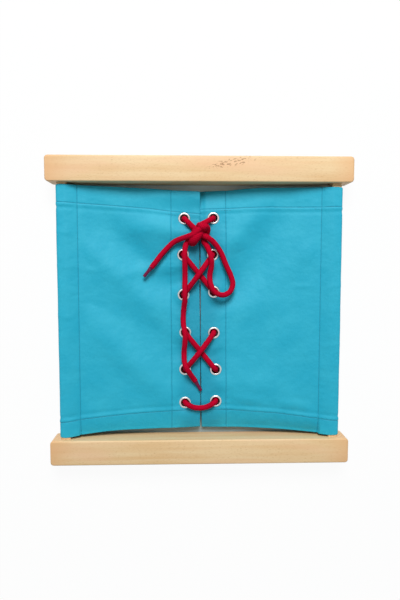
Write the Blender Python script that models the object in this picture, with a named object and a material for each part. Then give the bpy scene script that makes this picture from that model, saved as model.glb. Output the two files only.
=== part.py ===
"""Lacing frame: two wooden rails held apart by side bars, two cloth panels sleeved on the
bars, eyelets down both sides of the slit, and one round lace tied in a bow with a single loop.
Each panel is a sleeve and a flap, which meet at the sleeve's seam, where the cloth folds.

Metres, +Z up. The frame lies on its back. The origin is on the table under its middle, X runs
along the rails and Y runs from the bottom rail to the top rail.
"""

import math

import bmesh
import bpy
from mathutils import Matrix, Vector

# Wooden frame
RAIL_LENGTH = 0.305
RAIL_WIDTH = 0.0255
RAIL_THICKNESS = 0.027
RAIL_EDGE_RADIUS = 0.0025
FRAME_HEIGHT = 0.311
BAR_WIDTH = 0.0095
BAR_THICKNESS = 0.015
BAR_EDGE_RADIUS = 0.0015
BAR_INSET = 0.015
MORTISE_DEPTH = 0.012
WOOD_GAP = 0.0003

# Countersunk wood screws through the rails into the bars' ends
SCREW_LENGTH = 0.036
SCREW_SHANK_DIAMETER = 0.0035
SCREW_POINT_LENGTH = 0.003
SCREW_HEAD_DIAMETER = 0.0075
SCREW_HEAD_HEIGHT = 0.0024
SCREW_SINK = 0.0004
SCREW_SLOT_WIDTH = 0.0011
SCREW_SLOT_DEPTH = 0.001
PILOT_OVERRUN = 0.002

# Cloth panels
CLOTH = 0.0008
SLEEVE_GAP = 0.0003
SLEEVE_TOP_GAP = 0.0022
SLEEVE_FOOT_GAP = 0.0008
SEAM_SETBACK = 0.0141
SEAM_GAP = 0.0002
SEAM_ALLOWANCE = 0.004
SLIT_WIDTH = 0.002
SLIT_MIDDLE = 0.0002
SLIT_LEAN = 0.0008
PLACKET_WIDTH = 0.029
PLACKET_DROP = 0.0038
HEM_WIDTH = 0.020
TOP_EDGE_DIP = 0.0058
BOTTOM_EDGE_DIP = 0.0098
EDGE_DIP_POWER = 0.7
RISE_POWER = 1.5
FOLD_HEIGHT = 0.001
FOLD_WIDTH = 0.011
CORNER_WIDTH = 0.060
LAYER_STEP = 0.0006

# Each fold as shares: across from the placket's edge to the seam and along from the bottom edge
# to the top edge at its two ends, then its height and width. A height below zero is a valley.
LEFT_FOLD_SHARES = (
    (0.14, 0.68, 0.82, 0.87, -1.6, 1.0),
    (0.16, 0.56, 0.94, 0.77, 0.7, 0.65),
    (0.04, 0.33, 0.73, 0.56, -0.9, 1.0),
    (0.07, 0.16, 0.90, 0.42, 0.4, 0.75),
)
RIGHT_FOLD_SHARES = (
    (0.06, 0.65, 0.61, 0.87, -1.3, 1.0),
    (0.35, 0.51, 0.89, 0.70, 0.4, 0.9),
)
# How far the slit's corners curl up, or droop, at the bottom and at the top, as shares of the
# free cloth past the last washer
LEFT_CORNER_SHARES = (-0.09, -0.08)
RIGHT_CORNER_SHARES = (-0.09, 0.09)

# Eyelets and their backing washers
EYELET_SPAN = 0.1906
EYELET_SETBACK = 0.0155
EYELET_BORE = 0.008
EYELET_WALL = 0.0005
EYELET_FLANGE_DIAMETER = 0.0125
EYELET_FLANGE_HEIGHT = 0.0007
EYELET_LIP = 0.0007
EYELET_CURL_WIDTH = 0.0010
EYELET_CURL_HEIGHT = 0.0006
WASHER_DIAMETER = 0.0132
WASHER_THICKNESS = 0.0005
SEAT_GAP = 0.0003
LEFT_ROW_SHARES = (1.0, 0.615, 0.185, -0.225, -0.63, -1.0)
RIGHT_ROW_SHARES = (1.005, 0.615, 0.215, -0.23, -0.635, -0.985)
LEFT_SETBACK_SHARES = (1.02, 1.11, 1.10, 1.01, 1.04, 1.06)
RIGHT_SETBACK_SHARES = (0.90, 0.85, 0.91, 0.90, 1.02, 1.01)

# Lace and its crimped tips
LACE_DIAMETER = 0.005
LACE_GAP = 0.0005
LACE_BEND = 0.0051
LACE_JOIN_RUN = 0.0008
BOW_DIP = 0.0058
BOW_ROUNDNESS = 0.7
BOW_SHARES = (0.3, 0.5, 0.7)
TIP_LENGTH = 0.012
TIP_ROOT_DIAMETER = 0.0046
TIP_END_DIAMETER = 0.0034

# Fineness of the curved surfaces
ROUND_SIDES = 14
RAIL_EDGE_SEGMENTS = 3
BAR_EDGE_STEPS = 3
FLAP_STEPS = 9
HEIGHT_STEPS = 14
SHARP_ANGLE = math.radians(40)
LACE_BEVEL_RESOLUTION = 2
LACE_STEP = 2.5 * LACE_DIAMETER
HELD_LACE_TURN = math.radians(26)
FREE_LACE_TURN = math.radians(13)
SMOOTHING_STEPS = 20
MERGE = 0.000001

# Places that follow from the sizes above
AXIS_HEIGHT = RAIL_THICKNESS / 2
BAR_X = RAIL_LENGTH / 2 - BAR_INSET
RAIL_Y = (FRAME_HEIGHT - RAIL_WIDTH) / 2
INNER_Y = FRAME_HEIGHT / 2 - RAIL_WIDTH
SLEEVE_OUTSIDE = BAR_X + BAR_WIDTH / 2 + SLEEVE_GAP + CLOTH
SEAM_X = BAR_X - SEAM_SETBACK
SEAM_TOP = AXIS_HEIGHT + CLOTH
PLACKET_TOP = SEAM_TOP - PLACKET_DROP
PLACKET_UNDERSIDE = PLACKET_TOP - 2 * CLOTH
FLANGE_BOTTOM = PLACKET_TOP + SEAT_GAP
FLANGE_TOP = FLANGE_BOTTOM + EYELET_FLANGE_HEIGHT
WASHER_TOP = PLACKET_UNDERSIDE - SEAT_GAP
CURL_TOP = WASHER_TOP - WASHER_THICKNESS - SEAT_GAP
CURL_BOTTOM = CURL_TOP - EYELET_CURL_HEIGHT
BARREL_RADIUS = EYELET_BORE / 2 + EYELET_WALL
BARREL_MIDDLE = (FLANGE_TOP + CURL_BOTTOM) / 2
FRONT_LEVEL = FLANGE_TOP + LACE_GAP + LACE_DIAMETER / 2
BACK_LEVEL = CURL_BOTTOM - LACE_GAP - LACE_DIAMETER / 2
CLOTH_LEVEL = PLACKET_TOP + LACE_GAP + LACE_DIAMETER / 2
CROSSING_LEVEL = CLOTH_LEVEL + LACE_DIAMETER + LACE_GAP

# The lace from the left top eyelet: under the other end, round the loop, back under itself,
# over the knot and out to the short tail
LOOP_END_ROUTE = (
    (-0.0090, 0.0880, 0.0141),
    (-0.0045, 0.0838, 0.0135),
    (-0.0014, 0.0812, 0.0143),
    (0.0014, 0.0793, 0.0179),
    (0.0050, 0.0769, 0.0193),
    (0.0090, 0.0746, 0.0184),
    (0.0137, 0.0710, 0.0168),
    (0.0208, 0.0612, 0.0150),
    (0.0263, 0.0484, 0.0142),
    (0.0317, 0.0362, 0.0143),
    (0.0333, 0.0285, 0.0152),
    (0.0300, 0.0208, 0.0170),
    (0.0231, 0.0177, 0.0188),
    (0.0160, 0.0200, 0.0201),
    (0.0110, 0.0272, 0.0199),
    (0.0096, 0.0370, 0.0172),
    (0.0112, 0.0465, 0.0188),
    (0.0112, 0.0530, 0.0207),
    (0.0104, 0.0580, 0.0204),
    (0.0088, 0.0630, 0.0182),
    (0.0062, 0.0683, 0.0152),
    (0.0038, 0.0725, 0.0137),
    (0.0049, 0.0766, 0.0136),
    (0.0067, 0.0805, 0.0144),
    (0.0073, 0.0845, 0.0182),
    (0.0045, 0.0867, 0.0230),
    (-0.0008, 0.0841, 0.0243),
    (-0.0066, 0.0789, 0.0239),
    (-0.0122, 0.0767, 0.0213),
    (-0.0205, 0.0742, 0.0170),
    (-0.0270, 0.0710, 0.0150),
    (-0.0380, 0.0602, 0.0141),
    (-0.0472, 0.0485, 0.0141),
    (-0.0497, 0.0455, 0.0142),
)

# The lace from the right top eyelet: over the left strand, under the wrap and down to the long tail
LONG_END_ROUTE = (
    (0.0040, 0.0903, 0.0172),
    (-0.0008, 0.0873, 0.0189),
    (-0.0045, 0.0832, 0.0191),
    (-0.0080, 0.0776, 0.0169),
    (-0.0118, 0.0724, 0.0157),
    (-0.0143, 0.0690, 0.0166),
    (-0.0156, 0.0635, 0.0189),
    (-0.0159, 0.0571, 0.0202),
    (-0.0156, 0.0500, 0.0196),
    (-0.0155, 0.0358, 0.0168),
    (-0.0157, 0.0245, 0.0196),
    (-0.0157, 0.0179, 0.0202),
    (-0.0157, 0.0115, 0.0186),
    (-0.0166, 0.0051, 0.0158),
    (-0.0173, -0.0035, 0.0143),
    (-0.0172, -0.0123, 0.0164),
    (-0.0159, -0.0190, 0.0196),
    (-0.0153, -0.0245, 0.0200),
    (-0.0158, -0.0320, 0.0186),
    (-0.0166, -0.0420, 0.0156),
    (-0.0163, -0.0500, 0.0176),
    (-0.0146, -0.0560, 0.0200),
    (-0.0106, -0.0632, 0.0178),
    (-0.0068, -0.0692, 0.0144),
    (-0.0050, -0.0718, 0.0138),
)
SHORT_TAIL_TIP_END = (-0.0574, 0.0361, 0.0146)
LONG_TAIL_TIP_END = (0.0010, -0.0821, 0.0129)


def clear_scene():
    for obj in list(bpy.data.objects):
        bpy.data.objects.remove(obj, do_unlink=True)


def material(name, colour, roughness, metallic=0.0):
    made = bpy.data.materials.new(name)
    made.use_nodes = True
    shader = made.node_tree.nodes["Principled BSDF"]
    shader.inputs["Base Color"].default_value = (*colour, 1.0)
    shader.inputs["Roughness"].default_value = roughness
    shader.inputs["Metallic"].default_value = metallic
    return made


def add_object(name, mesh, look, place=(0, 0, 0), parent=None):
    """An object at a world place, under a parent that is itself unrotated."""
    obj = bpy.data.objects.new(name, mesh)
    bpy.context.scene.collection.objects.link(obj)
    obj.location = Vector(place) - (parent.location if parent else Vector())
    obj.parent = parent
    if look:
        mesh.materials.clear()
        mesh.materials.append(look)
    return obj


def add_pivot(name, place):
    pivot = bpy.data.objects.new(name, None)
    bpy.context.scene.collection.objects.link(pivot)
    pivot.location = place
    return pivot


def finish_mesh(bm, name, smooth=True):
    bmesh.ops.recalc_face_normals(bm, faces=bm.faces)
    mesh = bpy.data.meshes.new(name)
    bm.to_mesh(mesh)
    bm.free()
    if smooth:
        mesh.shade_smooth()
        mesh.set_sharp_from_angle(angle=SHARP_ANGLE)
    return mesh


def turned(name, profile, sides, ring=False):
    """A profile of (radius, height) spun round Z. A ring's profile closes on itself."""
    bm = bmesh.new()
    verts = [bm.verts.new((radius, 0, height)) for radius, height in profile]
    pairs = list(zip(verts, verts[1:]))
    if ring:
        pairs.append((verts[-1], verts[0]))
    edges = [bm.edges.new(pair) for pair in pairs]
    bmesh.ops.spin(
        bm,
        geom=verts + edges,
        cent=(0, 0, 0),
        axis=(0, 0, 1),
        angle=math.tau,
        steps=sides,
    )
    bmesh.ops.remove_doubles(bm, verts=bm.verts, dist=MERGE)
    return finish_mesh(bm, name)


def make_cutter(obj):
    obj.hide_render = True
    obj.display_type = "WIRE"


def cut(obj, cutter):
    modifier = obj.modifiers.new("Cut by " + cutter.name, "BOOLEAN")
    modifier.operation = "DIFFERENCE"
    modifier.solver = "EXACT"
    modifier.object = cutter


def screw_hole_profile():
    """Countersink and screw hole as one profile, from the rail's outer edge to the screw's end."""
    hole = SCREW_SHANK_DIAMETER / 2 + WOOD_GAP
    mouth = SCREW_HEAD_DIAMETER / 2 + WOOD_GAP
    end = SCREW_SINK + SCREW_LENGTH + PILOT_OVERRUN
    return (
        (0, -PILOT_OVERRUN),
        (mouth, -PILOT_OVERRUN),
        (mouth, SCREW_SINK + WOOD_GAP),
        (hole, SCREW_SINK + SCREW_HEAD_HEIGHT + WOOD_GAP),
        (hole, end),
        (0, end),
    )


def corner_arc(corner, radius, first, last):
    """Points round a corner, from one angle to another, counted from outwards to upwards."""
    points = []
    for k in range(BAR_EDGE_STEPS + 1):
        angle = first + (last - first) * k / BAR_EDGE_STEPS
        points.append((corner[0] + radius * math.cos(angle), corner[1] + radius * math.sin(angle)))
    return points


def bar_corners():
    """The middles of the bar's upper rounded edges, inner one first: x from the frame's middle."""
    rise = BAR_THICKNESS / 2 - BAR_EDGE_RADIUS
    reach = BAR_WIDTH / 2 - BAR_EDGE_RADIUS
    return (BAR_X - reach, rise), (BAR_X + reach, rise)


def mirrored_down(upper):
    """A whole outline from its upper half, whose heights count from the middle."""
    return upper + [(x, -z) for x, z in upper[::-1]]


def bar_outline(grow):
    inner, outer = bar_corners()
    radius = BAR_EDGE_RADIUS + grow
    upper = corner_arc(inner, radius, math.pi, math.pi / 2)
    return mirrored_down(upper + corner_arc(outer, radius, math.pi / 2, 0))


def make_prism(name, outline, low, high):
    """An outline in X and Z, extruded along Y. Its x counts from the bar's middle."""
    bm = bmesh.new()
    rows = [[bm.verts.new((x - BAR_X, y, z)) for x, z in outline] for y in (low, high)]
    count = len(outline)
    for k in range(count):
        after = (k + 1) % count
        bm.faces.new((rows[0][k], rows[0][after], rows[1][after], rows[1][k]))
    bm.faces.new(rows[0])
    bm.faces.new(rows[1])
    return finish_mesh(bm, name)


def inward_turn(end):
    """Turns a profile's Z to point from the rail's outer edge towards the middle of the frame."""
    return Matrix.Rotation(math.radians(90) * end, 3, "X").to_euler()


def make_rail(name, end, look):
    """end is 1 for the top rail and -1 for the bottom rail."""
    bm = bmesh.new()
    bmesh.ops.create_cube(bm, size=1)
    bmesh.ops.scale(bm, vec=(RAIL_LENGTH, RAIL_WIDTH, RAIL_THICKNESS), verts=bm.verts)
    rail = add_object(name, finish_mesh(bm, name), look, (0, end * RAIL_Y, AXIS_HEIGHT))
    rounding = rail.modifiers.new("Rounded edges", "BEVEL")
    rounding.width = RAIL_EDGE_RADIUS
    rounding.segments = RAIL_EDGE_SEGMENTS
    for side, label in ((-1, "left"), (1, "right")):
        cut(rail, screw_hole_cutter(f"{name}_{label}_screw_hole", side, end))
        inside = (side * BAR_X, end * INNER_Y, AXIS_HEIGHT)
        ends = sorted((end * MORTISE_DEPTH, -end * PILOT_OVERRUN))
        mesh = make_prism(f"{name}_{label}_mortise", bar_outline(WOOD_GAP), *ends)
        mortise = add_object(f"{name}_{label}_mortise", mesh, None, inside)
        make_cutter(mortise)
        cut(rail, mortise)
    return rail


def screw_hole_cutter(name, side, end):
    place = (side * BAR_X, end * FRAME_HEIGHT / 2, AXIS_HEIGHT)
    hole = add_object(name, turned(name, screw_hole_profile(), ROUND_SIDES), None, place)
    hole.rotation_euler = inward_turn(end)
    make_cutter(hole)
    return hole


def make_side_bar(label, side, look):
    """The bar reaches into both rails' mortises and has a pilot hole in each end."""
    half = INNER_Y + MORTISE_DEPTH - WOOD_GAP
    mesh = make_prism(f"{label}_side_bar", bar_outline(0), -half, half)
    bar = add_object(f"{label}_side_bar", mesh, look, (side * BAR_X, 0, AXIS_HEIGHT))
    for end, place in ((1, "top"), (-1, "bottom")):
        cut(bar, screw_hole_cutter(f"{label}_side_bar_{place}_pilot", side, end))
    return bar


def make_screw(name, side, end, look):
    shank = SCREW_SHANK_DIAMETER / 2
    profile = (
        (0, 0),
        (SCREW_HEAD_DIAMETER / 2, 0),
        (shank, SCREW_HEAD_HEIGHT),
        (shank, SCREW_LENGTH - SCREW_POINT_LENGTH),
        (0, SCREW_LENGTH),
    )
    place = (side * BAR_X, end * (FRAME_HEIGHT / 2 - SCREW_SINK), AXIS_HEIGHT)
    screw = add_object(name, turned(name, profile, ROUND_SIDES), look, place)
    screw.rotation_euler = inward_turn(end)
    bm = bmesh.new()
    bmesh.ops.create_cube(bm, size=1)
    size = (2 * SCREW_HEAD_DIAMETER, SCREW_SLOT_WIDTH, 2 * SCREW_SLOT_DEPTH)
    bmesh.ops.scale(bm, vec=size, verts=bm.verts)
    slot = add_object(name + "_slot", finish_mesh(bm, name + "_slot", False), None, place)
    slot.rotation_euler = inward_turn(end)
    make_cutter(slot)
    cut(screw, slot)
    return screw


def slit_x(y):
    """The slit leans a little: its top lies further left than its foot."""
    return SLIT_MIDDLE - SLIT_LEAN * y / INNER_Y


def panel_edge_y(x, end):
    """The cloth's top or bottom edge at x from the middle. It dips towards the slit."""
    if end > 0:
        outside, level, dip = SLEEVE_OUTSIDE, INNER_Y - SLEEVE_TOP_GAP, TOP_EDGE_DIP
    else:
        outside, level, dip = SEAM_X, INNER_Y - SLEEVE_FOOT_GAP, BOTTOM_EDGE_DIP
    share = max(0.0, min(1.0, (outside - x) / outside))
    return end * (level - dip * share**EDGE_DIP_POWER)


def fold_rise(side, across, along):
    """What the cloth's main folds add to its height. They fade out at the flap's four edges."""
    size = Vector((SEAM_X - PLACKET_WIDTH, 2 * INNER_Y))
    here = Vector((across * size.x, along * size.y))
    rise = 0.0
    folds = LEFT_FOLD_SHARES if side < 0 else RIGHT_FOLD_SHARES
    for across_1, along_1, across_2, along_2, height, width in folds:
        start = Vector((across_1 * size.x, along_1 * size.y))
        run = Vector((across_2 * size.x, along_2 * size.y)) - start
        share = max(0.0, min(1.0, (here - start).dot(run) / run.length_squared))
        distance = (here - start - run * share).length / (FOLD_WIDTH * width)
        rise += FOLD_HEIGHT * height * math.exp(-distance * distance / 2)
    hold = min(1.0, 6 * across * (1 - across)) * min(1.0, 6 * along * (1 - along))
    return rise * hold


def corner_rise(side, x, y):
    """What the curl or droop of the slit's corners adds to the cloth's height.

    It starts past the last eyelet's washer, so that the washers lie on flat cloth.
    """
    shares = LEFT_CORNER_SHARES if side < 0 else RIGHT_CORNER_SHARES
    end, share, row = (1, shares[1], 0) if y > 0 else (-1, shares[0], -1)
    start = end * eyelet_places(side)[row][1] + WASHER_DIAMETER / 2
    room = max(MERGE, end * panel_edge_y(x, end) - start)
    past = max(0.0, end * y - start) / room
    inward = max(0.0, 1 - x / CORNER_WIDTH)
    return share * room * past * past * inward * inward


def cloth_top(side, x, y, across, along):
    """Height of the cloth's top. across runs from 0 at the placket's edge to 1 at the seam."""
    rise = PLACKET_DROP * across**RISE_POWER
    return PLACKET_TOP + rise + fold_rise(side, across, along) + corner_rise(side, x, y)


def leaving_angle(corner, radius, target):
    """Where a line from the target touches a rounded edge from above."""
    away = Vector(target) - Vector(corner)
    return math.atan2(away.y, away.x) % math.tau - math.acos(radius / away.length)


def sleeve_outline(grow, nose):
    """Half of the sleeve's section, from its nose at the seam over the bar to the outer side."""
    inner, outer = bar_corners()
    radius = BAR_EDGE_RADIUS + grow
    first = leaving_angle(inner, radius, nose)
    over = corner_arc(inner, radius, first, math.pi / 2)
    return [nose] + over + corner_arc(outer, radius, math.pi / 2, 0)


def sleeve_sections(side):
    """For each end, the sleeve's outer loop and inner loop of points, both from the nose."""
    nose = SEAM_X + SEAM_GAP
    outline = mirrored_down(sleeve_outline(SLEEVE_GAP + CLOTH, (nose, CLOTH)))
    bore = mirrored_down(sleeve_outline(SLEEVE_GAP, (nose + CLOTH / 2, 0)))[:-1]
    sections = []
    for share in (0.0, 1.0):
        outer = [panel_point(side, x, share, AXIS_HEIGHT + z) for x, z in outline]
        inner = [panel_point(side, x, share, AXIS_HEIGHT + z) for x, z in bore]
        sections.append((outer, inner))
    return sections


def flap_stations():
    """Distances from the slit's edge to the seam as (distance, layers), with steps at each hem."""
    width = SEAM_X - SEAM_GAP - SLIT_WIDTH / 2
    doubled = [(0.0, 2), (PLACKET_WIDTH / 2, 2), (PLACKET_WIDTH, 2)]
    start = PLACKET_WIDTH + LAYER_STEP
    end = width - SEAM_ALLOWANCE - LAYER_STEP
    single = [(start + (end - start) * k / FLAP_STEPS, 1) for k in range(FLAP_STEPS + 1)]
    return doubled + single + [(end + LAYER_STEP, 2), (width, 2)]


def along_stations():
    """Shares of the panel's height as (share, layers), with steps at the top and bottom hems."""
    hem = HEM_WIDTH / (2 * INNER_Y)
    start = hem + LAYER_STEP / (2 * INNER_Y)
    middle = [(start + (1 - 2 * start) * k / HEIGHT_STEPS, 1) for k in range(HEIGHT_STEPS + 1)]
    return [(0.0, 2), (hem / 2, 2), (hem, 2)] + middle + [(1 - hem, 2), (1 - hem / 2, 2), (1.0, 2)]


def panel_point(side, x, share, z):
    """A point at x from the middle, with its y a share of the way up the panel."""
    low = panel_edge_y(x, -1)
    high = panel_edge_y(x, 1)
    return Vector((side * x, low + (high - low) * share, z))


def flap_loops(side):
    """For each height, the flap's loop of points: its top from the slit to the seam, and back."""
    flap = flap_stations()
    width = flap[-1][0]
    loops = []
    for share, hem_layers in along_stations():
        top, bottom = [], []
        for distance, layers in flap:
            y = panel_point(side, distance, share, 0).y
            edge = side * slit_x(y) + SLIT_WIDTH / 2
            x = edge + distance * (SEAM_X - SEAM_GAP - edge) / width
            across = max(0.0, (distance - PLACKET_WIDTH) / (width - PLACKET_WIDTH))
            z = cloth_top(side, x, y, across, share)
            top.append(panel_point(side, x, share, z))
            bottom.append(panel_point(side, x, share, z - CLOTH * max(layers, hem_layers)))
        loops.append(top + bottom[::-1])
    return loops


def skin(bm, low, high):
    """Faces between two loops of vertices, one for each pair of neighbours."""
    count = len(low)
    for k in range(count):
        after = (k + 1) % count
        bm.faces.new((low[k], low[after], high[after], high[k]))


def make_flap_mesh(name, side, pivot):
    bm = bmesh.new()
    loops = [[bm.verts.new(point - pivot) for point in loop] for loop in flap_loops(side)]
    for low, high in zip(loops, loops[1:]):
        skin(bm, low, high)
    last = len(loops[0]) - 1
    for loop in (loops[0], loops[-1]):
        for k in range(len(loop) // 2 - 1):
            bm.faces.new((loop[k], loop[k + 1], loop[last - k - 1], loop[last - k]))
    return finish_mesh(bm, name)


def make_sleeve(label, side, cloth):
    bm = bmesh.new()
    ends = []
    for section in sleeve_sections(side):
        ends.append([[bm.verts.new(point) for point in loop] for loop in section])
    for low, high in zip(*ends):
        skin(bm, low, high)
    for outer, inner in ends:
        bm.faces.new((outer[-1], outer[0], inner[0]))
        for k in range(len(inner)):
            bm.faces.new((outer[k], outer[k + 1], inner[(k + 1) % len(inner)], inner[k]))
    return add_object(f"{label}_sleeve", finish_mesh(bm, f"{label}_sleeve"), cloth)


def eyelet_places(side):
    """World x and y of one side's eyelets, from the top row down."""
    rows = LEFT_ROW_SHARES if side < 0 else RIGHT_ROW_SHARES
    setbacks = LEFT_SETBACK_SHARES if side < 0 else RIGHT_SETBACK_SHARES
    places = []
    for row, setback in zip(rows, setbacks):
        y = row * EYELET_SPAN / 2
        places.append((slit_x(y) + side * setback * EYELET_SETBACK, y))
    return places


def eyelet_profile():
    """One pressed ring: flange over the cloth, barrel through it and curl under the washer."""
    bore = EYELET_BORE / 2
    flange = EYELET_FLANGE_DIAMETER / 2
    lip = EYELET_LIP
    curl = BARREL_RADIUS + EYELET_CURL_WIDTH
    return (
        (bore, CURL_BOTTOM + lip),
        (bore, FLANGE_TOP - lip),
        (bore + 0.3 * lip, FLANGE_TOP - 0.3 * lip),
        (bore + lip, FLANGE_TOP),
        (flange - lip, FLANGE_TOP - 0.1 * lip),
        (flange, FLANGE_BOTTOM + 0.2 * EYELET_FLANGE_HEIGHT),
        (flange - 0.2 * lip, FLANGE_BOTTOM),
        (BARREL_RADIUS, FLANGE_BOTTOM),
        (BARREL_RADIUS, CURL_TOP),
        (curl, CURL_TOP),
        (bore + lip, CURL_BOTTOM),
    )


def washer_profile():
    inner = BARREL_RADIUS + SEAT_GAP
    outer = WASHER_DIAMETER / 2
    low = WASHER_TOP - WASHER_THICKNESS
    return ((inner, low), (inner, WASHER_TOP), (outer, WASHER_TOP), (outer, low))


def make_flap(label, side, cloth, metal):
    """A flap on its pivot at the sleeve's seam, with its eyelets and washers."""
    pivot = add_pivot(f"{label}_flap_pivot", (side * SEAM_X, 0, AXIS_HEIGHT))
    mesh = make_flap_mesh(f"{label}_flap", side, pivot.location)
    flap = add_object(f"{label}_flap", mesh, cloth, pivot.location, pivot)
    eyelet_mesh = turned(f"{label}_eyelet", eyelet_profile(), ROUND_SIDES, ring=True)
    washer_mesh = turned(f"{label}_washer", washer_profile(), ROUND_SIDES, ring=True)
    hole = BARREL_RADIUS + SEAT_GAP
    overrun = 4 * CLOTH
    hole_profile = (
        (0, PLACKET_UNDERSIDE - overrun),
        (hole, PLACKET_UNDERSIDE - overrun),
        (hole, PLACKET_TOP + overrun),
        (0, PLACKET_TOP + overrun),
    )
    hole_mesh = turned(f"{label}_eyelet_hole", hole_profile, ROUND_SIDES)
    for number, (x, y) in enumerate(eyelet_places(side), start=1):
        add_object(f"{label}_eyelet_{number}", eyelet_mesh, metal, (x, y, 0), pivot)
        add_object(f"{label}_eyelet_washer_{number}", washer_mesh, metal, (x, y, 0), pivot)
        cutter = add_object(f"{label}_eyelet_hole_{number}", hole_mesh, None, (x, y, 0), pivot)
        make_cutter(cutter)
        cut(flap, cutter)
    return flap


def between_knots(start, end, low, high, t):
    return start * ((high - t) / (high - low)) + end * ((t - low) / (high - low))


def curve_point(points, knots, t):
    """A point of the centripetal Catmull-Rom curve between the second and third points."""
    first = [between_knots(points[k], points[k + 1], knots[k], knots[k + 1], t) for k in range(3)]
    second = [between_knots(first[k], first[k + 1], knots[k], knots[k + 2], t) for k in range(2)]
    return between_knots(second[0], second[1], knots[1], knots[2], t)


def smooth_curve(route):
    """Closely spaced points along a smooth curve through all of the route's points."""
    route = [Vector(point) for point in route]
    route = [2 * route[0] - route[1]] + route + [2 * route[-1] - route[-2]]
    fine = []
    for k in range(len(route) - 3):
        points = route[k : k + 4]
        knots = [0.0]
        for a, b in zip(points, points[1:]):
            knots.append(knots[-1] + math.sqrt((b - a).length))
        for step in range(SMOOTHING_STEPS):
            t = knots[1] + (knots[2] - knots[1]) * step / SMOOTHING_STEPS
            fine.append(curve_point(points, knots, t))
    return fine + [route[-2]]


def thinned(fine, most_turn):
    """The points that a tube needs: fewer on straight runs and more in tight bends.

    The route's first and last stretches stay straight, which keeps the ends square.
    """
    inner = fine[SMOOTHING_STEPS:-SMOOTHING_STEPS]
    kept = [inner[0]]
    heading = (inner[1] - inner[0]).normalized()
    for point, after in zip(inner[1:-1], inner[2:]):
        ahead = (after - point).normalized()
        if (point - kept[-1]).length > LACE_STEP or ahead.angle(heading) > most_turn:
            kept.append(point)
            heading = ahead
    if (inner[-1] - kept[-1]).length < LACE_DIAMETER / 4 and len(kept) > 1:
        kept.pop()
    return [fine[0]] + kept + [inner[-1], fine[-1]]


def route_length(points):
    return sum((b - a).length for a, b in zip(points, points[1:]))


def least_gap(curves):
    """The least surface gap between strands, leaving out neighbours on the same strand."""
    samples = []
    for number, fine in enumerate(curves):
        travelled = 0.0
        for a, b in zip(fine, fine[1:]):
            samples.append((number, travelled, a))
            travelled += (b - a).length
    least = (math.inf, None)
    for k, (number, travelled, point) in enumerate(samples):
        for other, other_travelled, other_point in samples[k + 1 :]:
            if other == number and abs(other_travelled - travelled) < 3 * LACE_DIAMETER:
                continue
            gap = (other_point - point).length - LACE_DIAMETER
            if gap < least[0] and min(point.z, other_point.z) > BARREL_MIDDLE + LACE_DIAMETER / 2:
                least = (gap, point)
    return least


def make_tube(name, fine, most_turn, look):
    curve = bpy.data.curves.new(name, "CURVE")
    curve.dimensions = "3D"
    curve.bevel_depth = LACE_DIAMETER / 2
    curve.bevel_resolution = LACE_BEVEL_RESOLUTION
    curve.use_fill_caps = True
    spline = curve.splines.new("POLY")
    kept = thinned(fine, most_turn)
    spline.points.add(len(kept) - 1)
    for point, place in zip(spline.points, kept):
        point.co = (*place, 1.0)
    print(f"{name}: {route_length(fine):.4f} m long, {len(kept)} points")
    return add_object(name, curve, look)


def horizontal(start, end):
    """The unit direction in plan from one place to another."""
    return Vector((end[0] - start[0], end[1] - start[1], 0)).normalized()


def quarter_bend(place, direction, rise):
    """The lace turning from the middle of an eyelet's barrel to level, up or down by rise."""
    middle = Vector((*place, BARREL_MIDDLE))
    half = math.sqrt(0.5)
    shoulder = middle + direction * LACE_BEND * (1 - half) + Vector((0, 0, rise * half))
    level = middle + direction * LACE_BEND + Vector((0, 0, rise))
    return [shoulder, level]


def through_eyelet(place, back_towards, front_towards):
    """Points from the back of an eyelet, through its barrel, to its front."""
    back = quarter_bend(place, horizontal(place, back_towards), BACK_LEVEL - BARREL_MIDDLE)
    front = quarter_bend(place, horizontal(place, front_towards), FRONT_LEVEL - BARREL_MIDDLE)
    return back[::-1] + [Vector((*place, BARREL_MIDDLE))] + front


def join_in_barrel(place, way):
    """Where two pieces of the lace meet in a barrel: a short run square to the meeting face."""
    face = BARREL_MIDDLE + way * LACE_GAP / 2
    return [Vector((*place, face)), Vector((*place, face + way * LACE_JOIN_RUN))]


def crossing(start, end, height):
    """The middle of a front run, at the height that it has over the slit."""
    return Vector(((start[0] + end[0]) / 2, (start[1] + end[1]) / 2, height))


def hanging_bow(left, right):
    """The bottom row's front run, which hangs in a round bow below its two eyelets."""
    bow = []
    for share in BOW_SHARES:
        x = left[0] + (right[0] - left[0]) * share
        y = left[1] + (right[1] - left[1]) * share
        dip = BOW_DIP * math.sin(math.pi * share) ** BOW_ROUNDNESS
        bow.append(Vector((x, y - dip, CLOTH_LEVEL)))
    return bow


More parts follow.
